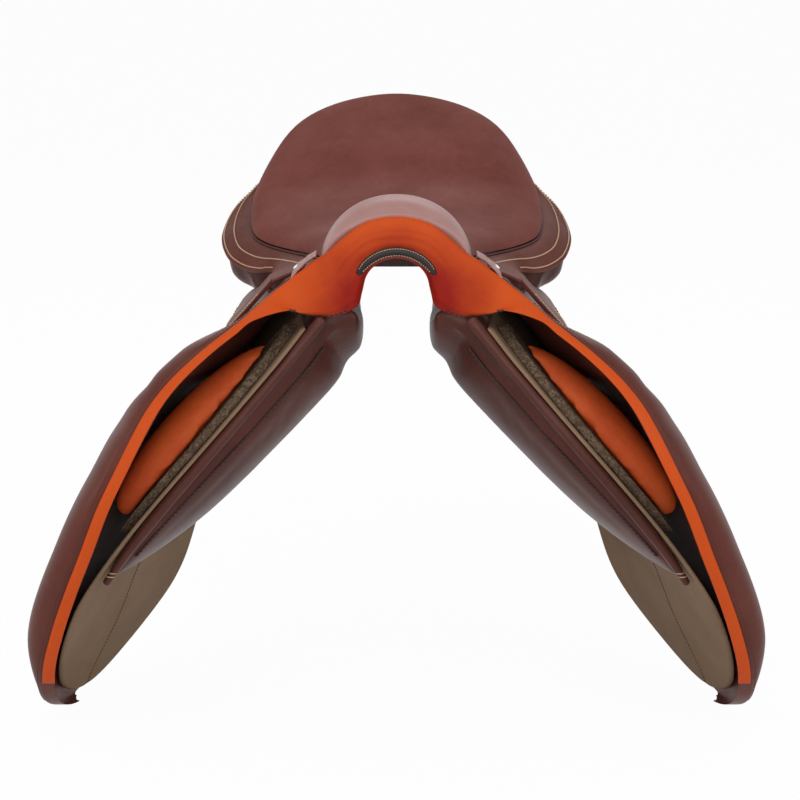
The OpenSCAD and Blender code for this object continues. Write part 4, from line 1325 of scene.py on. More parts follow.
stations = [facing_station(i) for i in range(9)] + [
    strip_station(z) for z in [40, 30, 19, 8, -2] + steps(-14, -294, 22)
]
mirrored = [-stations[1][0], stations[1][1], -stations[1][2], *stations[1][3:]]
spine = np.array([mirrored] + stations)
OVERLAP = 3.0
middles = (spine[:, [0, 4, 1]] + spine[:, [2, 4, 3]]) / 2
run = measured(middles)
start, finish_at = run[1] - OVERLAP, run[-1]
along = [mix(start, finish_at, (t * 0.75 + 0.25 * t * t)) for t in steps(0, 1, 190)]
facing_track = [[curve(list(zip(run, spine[:, k])), s) for k in range(6)] for s in along]
print("facing runs", round(finish_at - start), "mm each side")

# %% The facing's leather
HEAD_RUN = float(run[9] - run[1])
CREASES = [(0.30, 0.035, 0.7), (0.47, 0.04, 1.0), (0.66, 0.05, 0.8)]


def facing_point(index, t, on_back):
    ox, oz, nx, nz, front, back = facing_track[index]
    gone = (along[index] - start) / HEAD_RUN
    head = 1 - ease((gone - 0.75) / 0.5)
    y = back
    if not on_back:
        full = 4 * t * (1 - t)
        y = front - mix(0.9, 2.6, head) * full**0.7
        for place, width, deep in CREASES:
            wander = place + 0.05 * math.sin(2.1 + 5 * gone)
            fade = head * math.exp(-((max(0, gone - 0.1) / 0.55) ** 2))
            y += deep * fade * math.exp(-(((t - wander) / width) ** 2))
        y += 5.5 * head * ease((t - 0.86) / 0.14)
        y += 0.7 * ease((start + OVERLAP - along[index]) / OVERLAP)
    return [mix(ox, nx, t), y, mix(oz, nz, t)]


track, widths = range(len(facing_track)), steps(0, 1, 26)
facing = leather_sheet(
    "orange_facing",
    [[facing_point(i, t, False) for t in widths] for i in track],
    [[facing_point(i, t, True) for t in widths] for i in track],
    rims=(False, True, True, True),
)
facing_pieces = pair(facing, facing_leather, facing_leather, lining_leather)
lower = [i for i in track if 0.62 < (along[i] - start) / HEAD_RUN < 1.02]
edge_face = [[facing_point(i, t, False) for t in widths] for i in lower]
edge_back = [[facing_point(i, t, True) for t in widths] for i in lower]
lower_points, lower_normals = seam_line(edge_face, edge_back, 2.6, from_end=True)
arch_seam = together(
    "arch_seam",
    [
        stitches(lower_points, lower_normals, pitch=4.0, thread=0.75, lift=0.5, slant=0.9),
        rod(np.array(lower_points) - np.array(lower_normals) * 0.4, 0.7, 8),
    ],
)
for side, piece in pair(arch_seam, dark_thread):
    placed(piece)
print("facing's faces", len(facing.data.polygons))

# %% [markdown]
# ## The bare badge
#
# An arched patch sits on the lower edge of the pommel's facing. It stays without any lettering:
# a padded dark patch with a row of pale thread near each long edge.

# %% The badge
BADGE_CENTRE, BADGE_IN, BADGE_OUT, BADGE_TURN = 60.0, 32.2, 40.4, 62


def badge_point(a, t, raised):
    turn, radius = math.radians(a), mix(BADGE_IN, BADGE_OUT, t)
    end = 1 - 0.45 * abs(a / BADGE_TURN) ** 6
    radius = mix(36, radius, end)
    return [
        radius * math.sin(turn),
        -POMMEL
        - 9.4
        - (1.7 + 1.0 * math.sin(math.pi * t) if raised else 0)
        + 0.6 * abs(a / BADGE_TURN) ** 3,
        BADGE_CENTRE + radius * math.cos(turn),
    ]


badge_turns, badge_widths = steps(-BADGE_TURN, BADGE_TURN, 60), steps(0, 1, 10)
badge_face = grid_of(badge_turns, badge_widths, lambda a, t: badge_point(a, t, True))
badge_back = grid_of(badge_turns, badge_widths, lambda a, t: badge_point(a, t, False))
badge = leather_sheet("arch_patch", badge_face, badge_back)
finish_of(badge, badge_leather, badge_leather, badge_leather)
placed(badge, stands_for=("arch_badge",))
badge_rows = together(
    "patch_stitches", edge_rows(badge_face, badge_back, 1.3, 3, -3, pitch=2.2, thread=0.3)
)
finish_of(badge_rows, cream_thread)
placed(badge_rows)
print("badge without lettering")

# %% [markdown]
# ## Flaps
#
# Each flap is one large skin that crosses the hinge line: its top lies still under the skirt and
# the rest hangs below; the flap lifts there, but the skin keeps one shape. Its front edge is rolled
# outward over padding. The grid follows the flap's two edges, with more rows near the rounded tip.

# %% The flap's skin
flap_heights = steps(74, 44, 8)[:-1] + steps(44, HINGE_Z, 16)[:-1]
flap_heights += rounded_rows(HINGE_Z, -215, FLAP_DROP, 52, 30)
flap_widths = [t * mix(0.45, 1, t) for t in steps(0, 1, 56)]
SHOULDER = 18.5


def flap_point(z, c, share):
    y = flap_y(z, c)
    low = sunk(z, y)
    behind = min(1, max(0, y - flap_front_y(z)) / 34)
    full = SHOULDER * ease((40 - low) / 26) * ease((low + 50) / 50)
    puff = full * math.sqrt(1 - (1 - behind) ** 2) * (1 - ease((y + 180) / 90))
    return [side_x(low, y) + flap_out(low, y) + puff - share * flap_depth(low, y), y, low]


flap_face = grid_of(flap_heights, flap_widths, lambda z, c: flap_point(z, c, 0))
flap_back = grid_of(flap_heights, flap_widths, lambda z, c: flap_point(z, c, 1))
flap = leather_sheet("flap_skin", flap_face, flap_back)
ORANGE_LINING, LINED_DOWN_TO = 3, -0.165
for face in flap.data.polygons:
    if face.material_index == 2 and face.center.z > LINED_DOWN_TO:
        face.material_index = ORANGE_LINING
flap_pieces = pair(flap, flap_leather, dark_edge, lining_leather, block_leather)
flap_line = seam_line(flap_face, flap_back, 5.0, first=6, last=-9)
flap_rear_line = seam_line(flap_face, flap_back, 5.0, first=26, last=-12, from_end=True)
flap_stitches = together(
    "flap_stitches",
    [stitches(*flap_line, pitch=3.2, thread=0.4), stitches(*flap_rear_line, pitch=3.2, thread=0.4)],
)
flap_stitch_pieces = pair(flap_stitches, welt_leather)
print("flap's faces", len(flap.data.polygons))

# %% [markdown]
# ## Sweat flaps
#
# The sweat flap hangs between horse and girth straps: one sheet of leather, khaki on the horse's
# side, with a dark line of stitches down its middle.

# %% Sweat flaps
SWEAT_FRONT = [[-334, -212], [-290, -204], [-251, -206], [-204, -220], [-100, -236], [0, -228], [30, -216]]
SWEAT_REAR = [[-334, 0], [-282, 24], [-204, 12], [-100, 30], [30, 44]]


def sweat_y(z, c):
    f, r = curve(SWEAT_FRONT, z), curve(SWEAT_REAR, z)
    return (f + r) / 2 + (r - f) * (c - 0.5) * cap(z, -204, SWEAT_DROP)


def on_side(z, y, out):
    return [side_x(z, y) + out, y, z]


sweat_heights = rounded_rows(30, -204, SWEAT_DROP, 40, 30)
sweat_widths = steps(0, 1, 36)
sweat_face = grid_of(
    sweat_heights, sweat_widths, lambda z, c: on_side(z, sweat_y(z, c), SWEAT_THICK * LEVEL)
)
sweat_back = grid_of(sweat_heights, sweat_widths, lambda z, c: on_side(z, sweat_y(z, c), 0))
sweat = leather_sheet("sweat_skin", sweat_face, sweat_back)
for side, piece in pair(sweat, khaki_leather, dark_edge, strap_leather):
    placed(piece, stands_for=(f"sweat_flap_{side}",))
sweat_line = share_line(sweat_back, sweat_face, lambda r: 0.46, first=20, last=-2)
sweat_stitches = together("sweat_stitches", [stitches(*sweat_line, pitch=3.6, thread=0.45)])
for side, piece in pair(sweat_stitches, dark_thread):
    placed(piece)
print("sweat flap's faces", len(sweat.data.polygons))

# %% [markdown]
# ## Knee blocks on their hook boards
#
# A knee block is a leather spindle stuffed with firm foam and stuck to a board of hook tape. The
# spindle is simulated padding; the board is felt with a ragged edge, so its rim is pushed about by
# noise.

# %% Knee blocks
BLOCK_MID, BLOCK_LENGTH, BLOCK_WIDTH, BLOCK_DEPTH = -64.0, 152.0, 54.0, 28.0
BACKING_IN = SWEAT_THICK * LEVEL + 0.6
BACKING_THICK = 7.5
BLOCK_IN = BACKING_IN + BACKING_THICK * LEVEL + 0.6


def block_edge_y(z):
    return curve(SWEAT_FRONT, z) + 4


def spindle(z, length):
    return math.sqrt(max(0, 1 - (2 * (z - BLOCK_MID) / length) ** 2))


def block_point(z, a, high):
    w = spindle(z, BLOCK_LENGTH)
    half = (BLOCK_WIDTH - 6) / 2 * max(0.05, w)
    y = block_edge_y(z) + BLOCK_WIDTH / 2 - half * math.cos(a)
    tall = 1.5 + BLOCK_DEPTH * LEVEL * max(0.05, w) * max(0, math.sin(a)) ** 0.7
    return on_side(z, y, BLOCK_IN + (tall if high else 0))


block_heights = [BLOCK_MID + BLOCK_LENGTH / 2 * 0.998 * math.cos(a) for a in steps(0, math.pi, 48)]
block_turns = steps(0, math.pi, 26)
block = leather_sheet(
    "knee_pad",
    grid_of(block_heights, block_turns, lambda z, a: block_point(z, a, True)),
    grid_of(block_heights, block_turns, lambda z, a: block_point(z, a, False)),
    turns=2,
)
filled(block, voxel=3.5, pressure=3.0, reach=3.0, shrink=1.0)
for side, piece in pair(block, block_leather, block_leather, block_leather):
    placed(piece, stands_for=(f"knee_block_{side}",))


def board_point(z, c, out):
    w = spindle(z, BLOCK_LENGTH + 30)
    y = block_edge_y(z) + BLOCK_WIDTH / 2 * (1 - w) + c * BLOCK_WIDTH * max(0.1, w)
    return on_side(z, y, out)


board_heights = [
    BLOCK_MID + (BLOCK_LENGTH + 30) / 2 * 0.998 * math.cos(a) for a in steps(0, math.pi, 120)
]
board_widths = steps(0, 1, 30)
board = leather_sheet(
    "hook_board",
    grid_of(board_heights, board_widths, lambda z, c: board_point(z, c, BACKING_IN + BACKING_THICK * LEVEL)),
    grid_of(board_heights, board_widths, lambda z, c: board_point(z, c, BACKING_IN)),
    turns=5,
)


def ragged(obj, scale, reach):
    """Pushes each point about by noise, for fibres at a cut edge."""
    for vertex in obj.data.vertices:
        at = vertex.co / MM * scale
        vertex.co += noise.noise_vector(at) * reach * MM
    return obj


ragged(board, 0.55, 0.55)
for side, piece in pair(board, board_felt, board_felt, board_felt):
    placed(piece, stands_for=(f"block_backing_{side}",))
print("knee blocks and boards made")

# %% [markdown]
# ## Girth straps, their guard and webs
#
# Two bridle leather straps hang from webs over the tree on each side, with punched holes, and a
# guard keeps their buckles off the flap. The holes are cut with a Boolean, so they are real.

# %% Girth straps
STRAP_MID, STRAP_SPACING, STRAP_WIDTH, STRAP_THICK = -18.0, 46.0, 25.0, 3.5
STRAP_OUT, STRAP_HIGH, STRAP_DROP = 7.8, 8.0, 215.0
HOLES, HOLE_PITCH, LOWEST_HOLE, HOLE_RADIUS, PUNCH_REACH = 5, 25, -190, 2.5, 9


def strap_half(z):
    end = (z + STRAP_DROP) / 16
    return STRAP_WIDTH / 2 * (0.55 + 0.45 * ease(end))


def side_normal(z, y):
    n = np.cross(
        [side_x(z, y + 1) - side_x(z, y), 1, 0], [side_x(z + 1, y) - side_x(z, y), 0, 1]
    )
    return n / np.linalg.norm(n)


def girth_strap(place, nick):
    middle = STRAP_MID + place * STRAP_SPACING / 2
    heights, widths = steps(STRAP_HIGH, -STRAP_DROP, 84), steps(-1, 1, 12)

    def at(out):
        return grid_of(
            heights, widths, lambda z, c: on_side(z, middle + c * strap_half(z), out)
        )

    face, back = at(STRAP_OUT + STRAP_THICK * LEVEL), at(STRAP_OUT)
    strap = leather_sheet(f"girth_strap_{nick}_skin", face, back)
    finish_of(strap, strap_leather, dark_edge, lining_leather)
    pins = []
    for k in range(HOLES):
        z = LOWEST_HOLE + HOLE_PITCH * k
        centre = np.array(on_side(z, middle, STRAP_OUT + STRAP_THICK * LEVEL / 2))
        way = side_normal(z, middle)
        reach = way * PUNCH_REACH
        pins.append(rod([centre - reach, centre + reach], HOLE_RADIUS, 20))
    punch = together("punch", pins)
    cut = strap.modifiers.new("Holes", "BOOLEAN")
    cut.operation, cut.object, cut.solver = "DIFFERENCE", punch, "EXACT"
    applied(strap)
    bpy.data.objects.remove(punch)
    twin = other_side(strap, strap.name + "_right")
    strap.name += "_left"
    lines = edge_rows(face, back, 2.6, 2, -5, pitch=3.4, thread=0.35)
    rows = pair(together(f"girth_strap_{nick}_stitches", lines), dark_thread)
    for (side, row), piece in zip(rows, (strap, twin)):
        body = f"girth_strap_{nick}_{side}"
        placed(piece, body, (body,))
        placed(row, body)


girth_strap(-1, "front")
girth_strap(1, "rear")
print("girth straps punched")

# %% Guards and webs
guard_out = STRAP_OUT + STRAP_THICK * LEVEL + 1.3
guard_width = STRAP_SPACING + STRAP_WIDTH + 14


def guard_point(z, c, out):
    taper = 1 - 0.25 * ease((-z - 46) / 20) * abs(c) ** 2
    return on_side(z, STRAP_MID + c * taper * guard_width / 2, out)


guard_heights, guard_widths = steps(-4, -66, 24), steps(-1, 1, 24)
guard_face = grid_of(guard_heights, guard_widths, lambda z, c: guard_point(z, c, guard_out + 2))
guard_back = grid_of(guard_heights, guard_widths, lambda z, c: guard_point(z, c, guard_out))
guard = leather_sheet("buckle_guard_skin", guard_face, guard_back)
for side, piece in pair(guard, strap_leather, dark_edge, lining_leather):
    placed(piece, stands_for=(f"buckle_guard_{side}",))
guard_stitches = together(
    "guard_stitches", edge_rows(guard_face, guard_back, 3.0, 1, -1, thread=0.35)
)
for side, piece in pair(guard_stitches, dark_thread):
    placed(piece)
web_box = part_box("girth_web_left")
WEB_ROOT_Z, WEB_BEND, WEB_HALF, WEB_THICK = 57, [[76, 50], [85, 40]], 35.5, 2


def web_row(y, sink):
    line = [[web_box[0].x / MM + 2.2, WEB_ROOT_Z]] + WEB_BEND
    line += [[side_x(z, y) + STRAP_OUT + 3, z] for z in (30, 20, STRAP_HIGH + 2)]
    smooth = resample(line, 30)
    return [[x - sink, y, z - sink / 2] for x, z in smooth]


web_at = steps(STRAP_MID - WEB_HALF, STRAP_MID + WEB_HALF, 30)
web_rows = [web_row(y, 0) for y in web_at]
web = leather_sheet("girth_web_skin", web_rows, [web_row(y, WEB_THICK) for y in web_at])
for side, piece in pair(web, tree_webbing, tree_webbing, tree_webbing):
    placed(piece, stands_for=(f"girth_web_{side}",))
print("guards and webs made")

# %% [markdown]
# ## Panels
#
# The two panels carry the saddle on the horse's back. Each is a leather bag flocked with wool:
# narrow and round in front, wide and flat behind. The bag is lofted from rings, then filled by
# simulation, so the leather tightens over the flocking.

# %% The panel's curves
PANEL_FRONT = [[-196, -211], [-144, -222], [-77, -226], [-14, -218], [34, -206], [60, -197]]
PANEL_LOW = [
    [-226, -196],
    [-200, -193],
    [-110, -165],
    [-50, -125],
    [20, -88],
    [70, -64],
    [100, -42],
    [145, -20],
]
PANEL_BEND, PANEL_ROOT, CHANNEL_TOP = 0.2, 30.0, 50.0
REAR_SIDE = [[95, 150], [150, 169], [180, 160], [215, 129]]
REAR_RISE = [[80, 0], [95, 2], [120, 10], [140, 20], [162, 33], [190, 44], [220, 50]]
FRONT_PAD = [[-226, 50], [-150, 63], [-60, 56], [20, 44], [95, 42]]


def rearward(y):
    return ease((y - 70) / 72)


def panel_top(v, y):
    if v < PANEL_BEND:
        front = mix(
            np.array([PANEL_ROOT, CHANNEL_TOP - CLEAR]),
            np.array([side_x(46, y) - 1, 46]),
            v / PANEL_BEND,
        )
    else:
        z = mix(46, curve(PANEL_LOW, y), (v - PANEL_BEND) / (1 - PANEL_BEND))
        front = np.array([side_x(z, y) - 1, z])
    rise = curve(REAR_RISE, y) * v * v
    rear = np.array([mix(PANEL_ROOT, curve(REAR_SIDE, y), v), CHANNEL_TOP - CLEAR + rise])
    return mix(front, rear, rearward(y))


def panel_depth(v, y):
    front = curve(FRONT_PAD, y) * (1 - 0.66 * v**2.2)
    return mix(front, 56 + curve(REAR_RISE, y) * v * v - 1, rearward(y))


def panel_turn(v, y):
    return mix((math.pi / 2 - LEAN) * ease((v - 0.05) / 0.35), 0, rearward(y))


def panel_y(v, u):
    z = mix(46, PANEL_LOW[0][1], min(1, max(0, (v - PANEL_BEND) / (1 - PANEL_BEND))))
    return mix(curve(PANEL_FRONT, z), 222 - 24 * v * v, u)


def panel_point(u, v, h):
    """u runs from front to rear, v from the channel outward, h from the horse's side to the tree's."""
    y = panel_y(v, u)
    thin = 0.16 + 0.84 * math.sqrt(1 - (1 - min(1, u / 0.16)) ** 2)
    round_back = math.sqrt(max(0.02, 1 - (max(0, u - 0.8) / 0.2) ** 3))
    top = panel_top(v, y)
    w = panel_turn(v, y)
    down = panel_depth(v, y) * thin * (1 - h * round_back) / 2
    return [top[0] - down * math.sin(w), y, top[1] - down * math.cos(w)]


# %% The panel's bag
panel_at = [0.6 * (1 - math.cos(math.pi * i / 84)) / 2 + 0.4 * i / 84 for i in range(85)]
RING = 72


def panel_ring(u):
    ring = []
    for k in range(RING):
        a = 2 * math.pi * k / RING
        v, h = 0.5 + 0.5 * power(math.cos(a), 0.5), power(math.sin(a), 0.5)
        ring.append(panel_point(u, v, h))
    return ring


rings = np.array([panel_ring(u) for u in panel_at])
ends = [rings[0].mean(axis=0), rings[-1].mean(axis=0)]


def panel_bag(name):
    points, faces = rings.reshape(-1, 3), []
    count = len(rings)
    for r in range(count - 1):
        for c in range(RING):
            d = (c + 1) % RING
            faces.append([r * RING + c, r * RING + d, (r + 1) * RING + d, (r + 1) * RING + c])
    inner_front = ends[0] + (rings[0] - ends[0]) * 0.5
    inner_rear = ends[1] + (rings[-1] - ends[1]) * 0.5
    points = np.concatenate([points, inner_front, inner_rear, [ends[0]], [ends[1]]])
    a, b = count * RING, (count + 1) * RING
    for c in range(RING):
        d = (c + 1) % RING
        faces.append([c, a + c, a + d, d])
        faces.append([a + c, b + RING, a + d])
        faces.append([(count - 1) * RING + d, b + d, b + c, (count - 1) * RING + c])
        faces.append([b + d, b + RING + 1, b + c])
    return new_object(name, points, faces)


panel = panel_bag("panel_bag")


def panel_hold(p):
    """The panel's front edge is sewn and stays."""
    against = ease((p[1] + 214) / 14)
    return 1 - against


filled(panel, voxel=5.5, pressure=4.0, reach=3.5, shrink=1.2, hold=panel_hold)
for side, piece in pair(panel, panel_leather):
    placed(piece, stands_for=(f"panel_{side}",))
print("panel's faces", len(panel.data.polygons))

# %% [markdown]
# ## The panel's welt and gathered seam
#
# A round welt closes the panel's front edge, thinner at its rounded lower end, and tacked there
# with cream thread. The panel's leather is gathered into it: short slanted stitches pull small dark
# folds, which show as a saw-toothed line.

# %% Welts
WELT = 10.0


def welt_centre(z):
    radius = WELT / 2 * mix(0.7, 1, ease((z + 194) / 60))
    y = curve(PANEL_FRONT, z) - radius - CLEAR
    return [side_x(z, y) - 1 - WELT * 0.62, y, z], radius


welt_heights = steps(36, -196, 90)
welt_line = [welt_centre(z)[0] for z in welt_heights]
welt_radii = [welt_centre(z)[1] for z in welt_heights]
welt = together("panel_welt_cord", [rod(welt_line, welt_radii, 16)])
for side, piece in pair(welt, welt_leather):
    placed(piece, stands_for=(f"panel_welt_{side}",))
bar_tacks, TACK_HEIGHTS = [], (-186.0, -189.5)
for z in TACK_HEIGHTS:
    centre, radius = welt_centre(z)
    arc = [
        [centre[0] + (radius + 0.15) * math.cos(a), centre[1] + (radius + 0.15) * math.sin(a), z]
        for a in steps(math.pi * 0.95, math.pi * 1.9, 12)
    ]
    bar_tacks.append(rod(arc, 0.55, 8))
tacks = together("welt_tacks", bar_tacks)
for side, piece in pair(tacks, cream_thread):
    placed(piece)
print("welts tacked")

# %% Gathered seams
seam_points, seam_normals = [], []
for z in steps(30, -192, 120):
    v = PANEL_BEND + (1 - PANEL_BEND) * (46 - z) / (46 + 226)
    here = np.array(panel_point(0.012, v, -0.98))
    ahead = np.array(panel_point(0.05, v, -1.0))
    wide = ahead - here
    normal = np.cross(wide, [side_x(z - 1, here[1]) - side_x(z, here[1]), 0, -1])
    normal /= np.linalg.norm(normal)
    if normal[1] > 0:
        normal = -normal
    seam_points.append(here + normal * 0.2)
    seam_normals.append(normal)
seam_points, seam_normals = np.array(seam_points), np.array(seam_normals)
gathers = together(
    "panel_gathers",
    [
        stitches(seam_points, seam_normals, pitch=4.4, thread=0.75, lift=0.5, slant=0.95),
        rod(seam_points - seam_normals * 0.5, 0.8, 8),
    ],
)
for side, piece in pair(gathers, dark_thread):
    placed(piece)
print("gathers made", len(seam_points))

# %% [markdown]
# ## Under the tree
#
# Felt lines the channel between the panels, and a leather wall closes the cantle behind, with a
# welt along its top where it meets the seat.

# %% Lining and cantle wall
lining_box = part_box("gullet_lining")


def lining_row(y, lift):
    half = mix(38, 29, ease((-20 - y) / 50))
    z = 50 + 40 * ease((-30 - y) / 150)
    return [[x * half, y, z + lift] for x in steps(-1, 1, 16)]


lining_at = steps(lining_box[0].y / MM, lining_box[1].y / MM, 70)
lining_rows = [lining_row(y, 1.6) for y in lining_at]
lining = leather_sheet("channel_lining", lining_rows, [lining_row(y, 0) for y in lining_at], turns=2)
finish_of(lining, lining_felt, lining_felt, lining_felt)
placed(lining, stands_for=("gullet_lining",))


def rim_y(x, inward):
    share = max(0, 1 - (x / (SEAT / 2 - inward)) ** 2)
    return WIDEST + (CANTLE - WIDEST - inward) * share ** (1 / REAR_FULL)


def wall_point(a, t, inward):
    x = (SEAT / 2 - inward) * math.sin(math.radians(a))
    y = rim_y(x, inward)
    v = min(1, max(0, (abs(x) - PANEL_ROOT) / (curve(REAR_SIDE, y) - PANEL_ROOT)))
    low = CHANNEL_TOP + curve(REAR_RISE, y) * v * v + 0.6
    return [x, y, mix(edge_z(y) - 0.9, low, t)]


wall_turns, wall_falls = steps(-66, 66, 96), steps(0, 1, 18)
wall_face = grid_of(wall_turns, wall_falls, lambda a, t: wall_point(a, t, CLEAR))
wall_back = grid_of(wall_turns, wall_falls, lambda a, t: wall_point(a, t, CLEAR + 3))
wall = leather_sheet("cantle_wall", wall_face, wall_back)
finish_of(wall, band_leather, dark_edge, lining_leather)
placed(wall, stands_for=("cantle_facing",))
wall_stitches = together("cantle_stitches", edge_rows(wall_face, wall_back, 4.0, 3, -3))
finish_of(wall_stitches, cream_thread)
placed(wall_stitches)
cantle_path = []
for a in steps(-80, 80, 120):
    x = (SEAT / 2 - 1) * math.sin(math.radians(a))
    cantle_path.append([x, rim_y(x, 1), edge_z(rim_y(x, 1)) - 0.6])
cantle_welt = together("cantle_welt", [rod(cantle_path, 2.0, 10)])
finish_of(cantle_welt, seat_leather)
placed(cantle_welt)
print("lining and cantle wall made")

# %% [markdown]
# ## Dees and their chapes
#
# A chape is a strip of leather folded round the dee's wire and nailed to the tree's head. The wire
# turns in it.

# %% Chapes
DEE = (99.0, -183.5, 56.0)
CHAPE_WIDTH, CHAPE_WALL, CHAPE_ROOT, WIRE_HOLE = 9.0, 1.6, 53.4, 1.75


def chape_line(inside):
    """Up over the wire and back: a strip folded round it."""
    radius = WIRE_HOLE + (0 if inside else CHAPE_WALL)
    level = CHAPE_WALL * (0.02 if inside else 1)
    turn = [
        [DEE[0] + radius * math.cos(math.radians(a)), DEE[2] + radius * math.sin(math.radians(a))]
        for a in steps(150, -150, 30)
    ]
    return [[CHAPE_ROOT, DEE[2] + level]] + turn + [[CHAPE_ROOT, DEE[2] - level]]


def chape_grid(inside):
    line = resample(chape_line(inside), 70)
    return [
        [[x, DEE[1] + w, z] for w in steps(-CHAPE_WIDTH / 2, CHAPE_WIDTH / 2, 8)] for x, z in line
    ]


chape = leather_sheet("dee_chape", chape_grid(False), chape_grid(True))
chapes = pair(chape, strap_leather, dark_edge, lining_leather)
for side, piece in chapes:
    placed(piece, stands_for=("dee_chapes",))
print("chapes folded")

# %% [markdown]
# ## Skins across the hinges
#
# The way the leather falls, square to the hinge, is worked out for each skin but not used: the
# skins keep one shape and are not made to bend.

# %% Skins at the hinges
joints = {joint["child"]: joint for joint in frame["joints"]}


def bends(piece, slot, body, stands_for, down, before, after):
    """Hides the solids that a skin stands for and bakes its place; the skin is not made to bend. down is the
    way the leather falls.
    """
    hinge = joints[body]
    sign = 1 if hinge["pos_m"][0] > 0 else -1
    axis, at = Vector(hinge["axis"]).normalized(), Vector(hinge["pos_m"])
    fall = Vector((sign * down[0], down[1], down[2]))
    fall = (fall - axis * fall.dot(axis)).normalized()
    if stands_for:
        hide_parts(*stands_for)
    at + fall * before * MM
    at + fall * after * MM
    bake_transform(piece)


FLAP_DOWN, FLAP_BEND = (math.sin(LEAN), 0, -math.cos(LEAN)), (-3, 12)
SKIRT_DOWN, SKIRT_BEND = (0.656, 0, -0.754), (-1, 9)
for side, piece in flap_pieces:
    solids = (f"flap_{side}", f"flap_top_{side}")
    bends(piece, "flap_leather", f"flap_{side}", solids, FLAP_DOWN, *FLAP_BEND)
for side, piece in flap_stitch_pieces:
    bends(piece, "flap_leather", f"flap_{side}", (), FLAP_DOWN, *FLAP_BEND)
for side, piece in facing_pieces:
    solids = ("head_facing", f"flap_facing_{side}")
    bends(piece, "orange_leather", f"flap_{side}", solids, FLAP_DOWN, *FLAP_BEND)
for side, piece in skirt_pieces:
    solids = (f"skirt_{side}", f"seat_band_{side}")
    bends(piece, "band_leather", f"skirt_{side}", solids, SKIRT_DOWN, *SKIRT_BEND)
for side, piece in skirt_stitch_pieces:
    bends(piece, "band_leather", f"skirt_{side}", (), SKIRT_DOWN, *SKIRT_BEND)
print("skins bend at", sorted(joints))

# %% [markdown]
# ## Floor, light and camera
#
# The saddle stands in a white studio. Five soft lamps, the strongest above and in front, and a pale
# world give a plain level, at which a colour looks as it was written. Eyes, mirrors and glass see
# the floor and the world as white, while the light on the saddle comes from a dimmer grey, and the
# floor keeps a little of the saddle's shadow.

# %% Floor and world
low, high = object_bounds()
FLOOR_GAP, FLOOR_WHITE, WORLD_WHITE, ROOM_LIGHT = 0.004, 0.965, 1.0, 0.42
FLOOR = low.z - FLOOR_GAP


def seen_white(tree, plain, white, end, share):
    """Shows the white shader, by its share, to eyes, mirrors and glass, and the plain one to light."""
    ray = tree.nodes.new("ShaderNodeLightPath")
    seen = ray.outputs["Is Camera Ray"]
    for kind in ("Is Transmission Ray", "Is Glossy Ray"):
        either = tree.nodes.new("ShaderNodeMath")
        either.operation = "MAXIMUM"
        tree.links.new(seen, either.inputs[0])
        tree.links.new(ray.outputs[kind], either.inputs[1])
        seen = either.outputs[0]
    part = tree.nodes.new("ShaderNodeMath")
    part.operation = "MULTIPLY"
    part.inputs[1].default_value = share
    blend = tree.nodes.new("ShaderNodeMixShader")
    tree.links.new(seen, part.inputs[0])
    tree.links.new(part.outputs[0], blend.inputs[0])
    tree.links.new(plain.outputs[0], blend.inputs[1])
    tree.links.new(white.outputs[0], blend.inputs[2])
    tree.links.new(blend.outputs[0], end.inputs["Surface"])


def floor_material():
    material = bpy.data.materials.new("studio_floor")
    material.use_nodes = True
    tree = material.node_tree
    tree.nodes.clear()
    surface = tree.nodes.new("ShaderNodeBsdfDiffuse")
    surface.inputs["Color"].default_value = (0.92, 0.92, 0.92, 1)
    glow = tree.nodes.new("ShaderNodeEmission")
    glow.inputs["Color"].default_value = (1, 1, 1, 1)
    seen_white(tree, surface, glow, tree.nodes.new("ShaderNodeOutputMaterial"), FLOOR_WHITE)
    return material


floor_mesh = bpy.data.meshes.new("floor")
REACH = 30.0
floor_mesh.from_pydata(
    [(-REACH, -REACH, FLOOR), (REACH, -REACH, FLOOR), (REACH, REACH, FLOOR), (-REACH, REACH, FLOOR)],
    [],
    [(0, 1, 2, 3)],
)
floor = bpy.data.objects.new("floor", floor_mesh)
scene.collection.objects.link(floor)
floor.data.materials.append(floor_material())

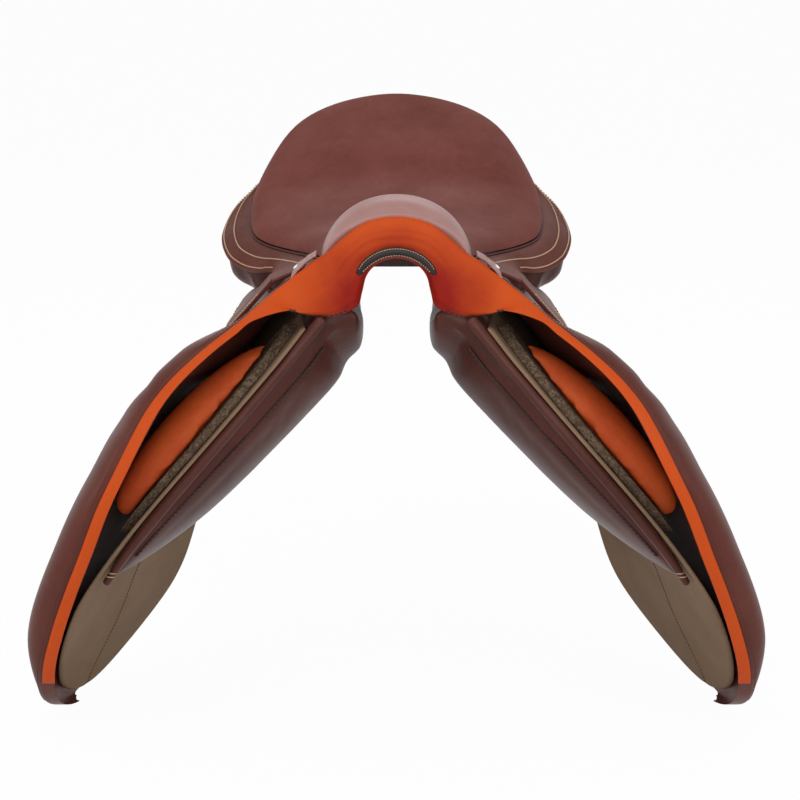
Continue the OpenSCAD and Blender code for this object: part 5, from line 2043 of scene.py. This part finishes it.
world = bpy.data.worlds.new("studio")
scene.world = world
world.use_nodes = True
tree = world.node_tree
tree.nodes.clear()
room = tree.nodes.new("ShaderNodeBackground")
room.inputs["Color"].default_value = (0.95, 0.96, 1.0, 1)
room.inputs["Strength"].default_value = ROOM_LIGHT
white = tree.nodes.new("ShaderNodeBackground")
white.inputs["Color"].default_value = (1, 1, 1, 1)
white.inputs["Strength"].default_value = 1.0
seen_white(tree, room, white, tree.nodes.new("ShaderNodeOutputWorld"), WORLD_WHITE)
print("floor at", round(FLOOR, 3))

# %% Lamps and camera


def softbox(name, at, aim, size, power):
    lamp = bpy.data.lights.new(name, "AREA")
    lamp.shape, lamp.size, lamp.size_y, lamp.energy = "RECTANGLE", size[0], size[1], power
    holder = bpy.data.objects.new(name, lamp)
    scene.collection.objects.link(holder)
    holder.location = at
    holder.rotation_euler = (Vector(aim) - Vector(at)).to_track_quat("-Z", "Y").to_euler()
    return holder


softbox("key", (-0.4, -1.3, 2.1), (0, 0, 0.0), (1.6, 1.0), 18)
softbox("front", (0.0, -2.3, 0.35), (0, 0, -0.12), (1.4, 0.8), 15)
softbox("fill", (1.6, -1.4, 0.5), (0, 0, -0.1), (1.0, 1.4), 8)
softbox("side", (-1.9, -0.8, 0.4), (0, 0, -0.1), (0.8, 1.4), 7)
softbox("back", (0.2, 1.8, 1.7), (0, 0, 0.1), (1.8, 0.8), 12)

camera_data = bpy.data.cameras.new("camera")
camera = bpy.data.objects.new("camera", camera_data)
scene.collection.objects.link(camera)
TILT, DISTANCE, AIM = math.radians(14), 2.2, Vector((0, 0, -0.0859))
SENSOR, LENS, SIDE_SHIFT = 36.0, 104.445, 0.0044
back = Vector((0, -math.cos(TILT), math.sin(TILT)))
camera.location = AIM + back * DISTANCE
camera.rotation_mode = "QUATERNION"
camera.rotation_quaternion = (-back).to_track_quat("-Z", "Y")
camera_data.sensor_width, camera_data.lens = SENSOR, LENS
camera_data.shift_x = SIDE_SHIFT
camera_data.clip_end = 100
scene.camera = camera
scene.view_settings.view_transform = "Standard"
print("camera", [round(c, 4) for c in camera.location])
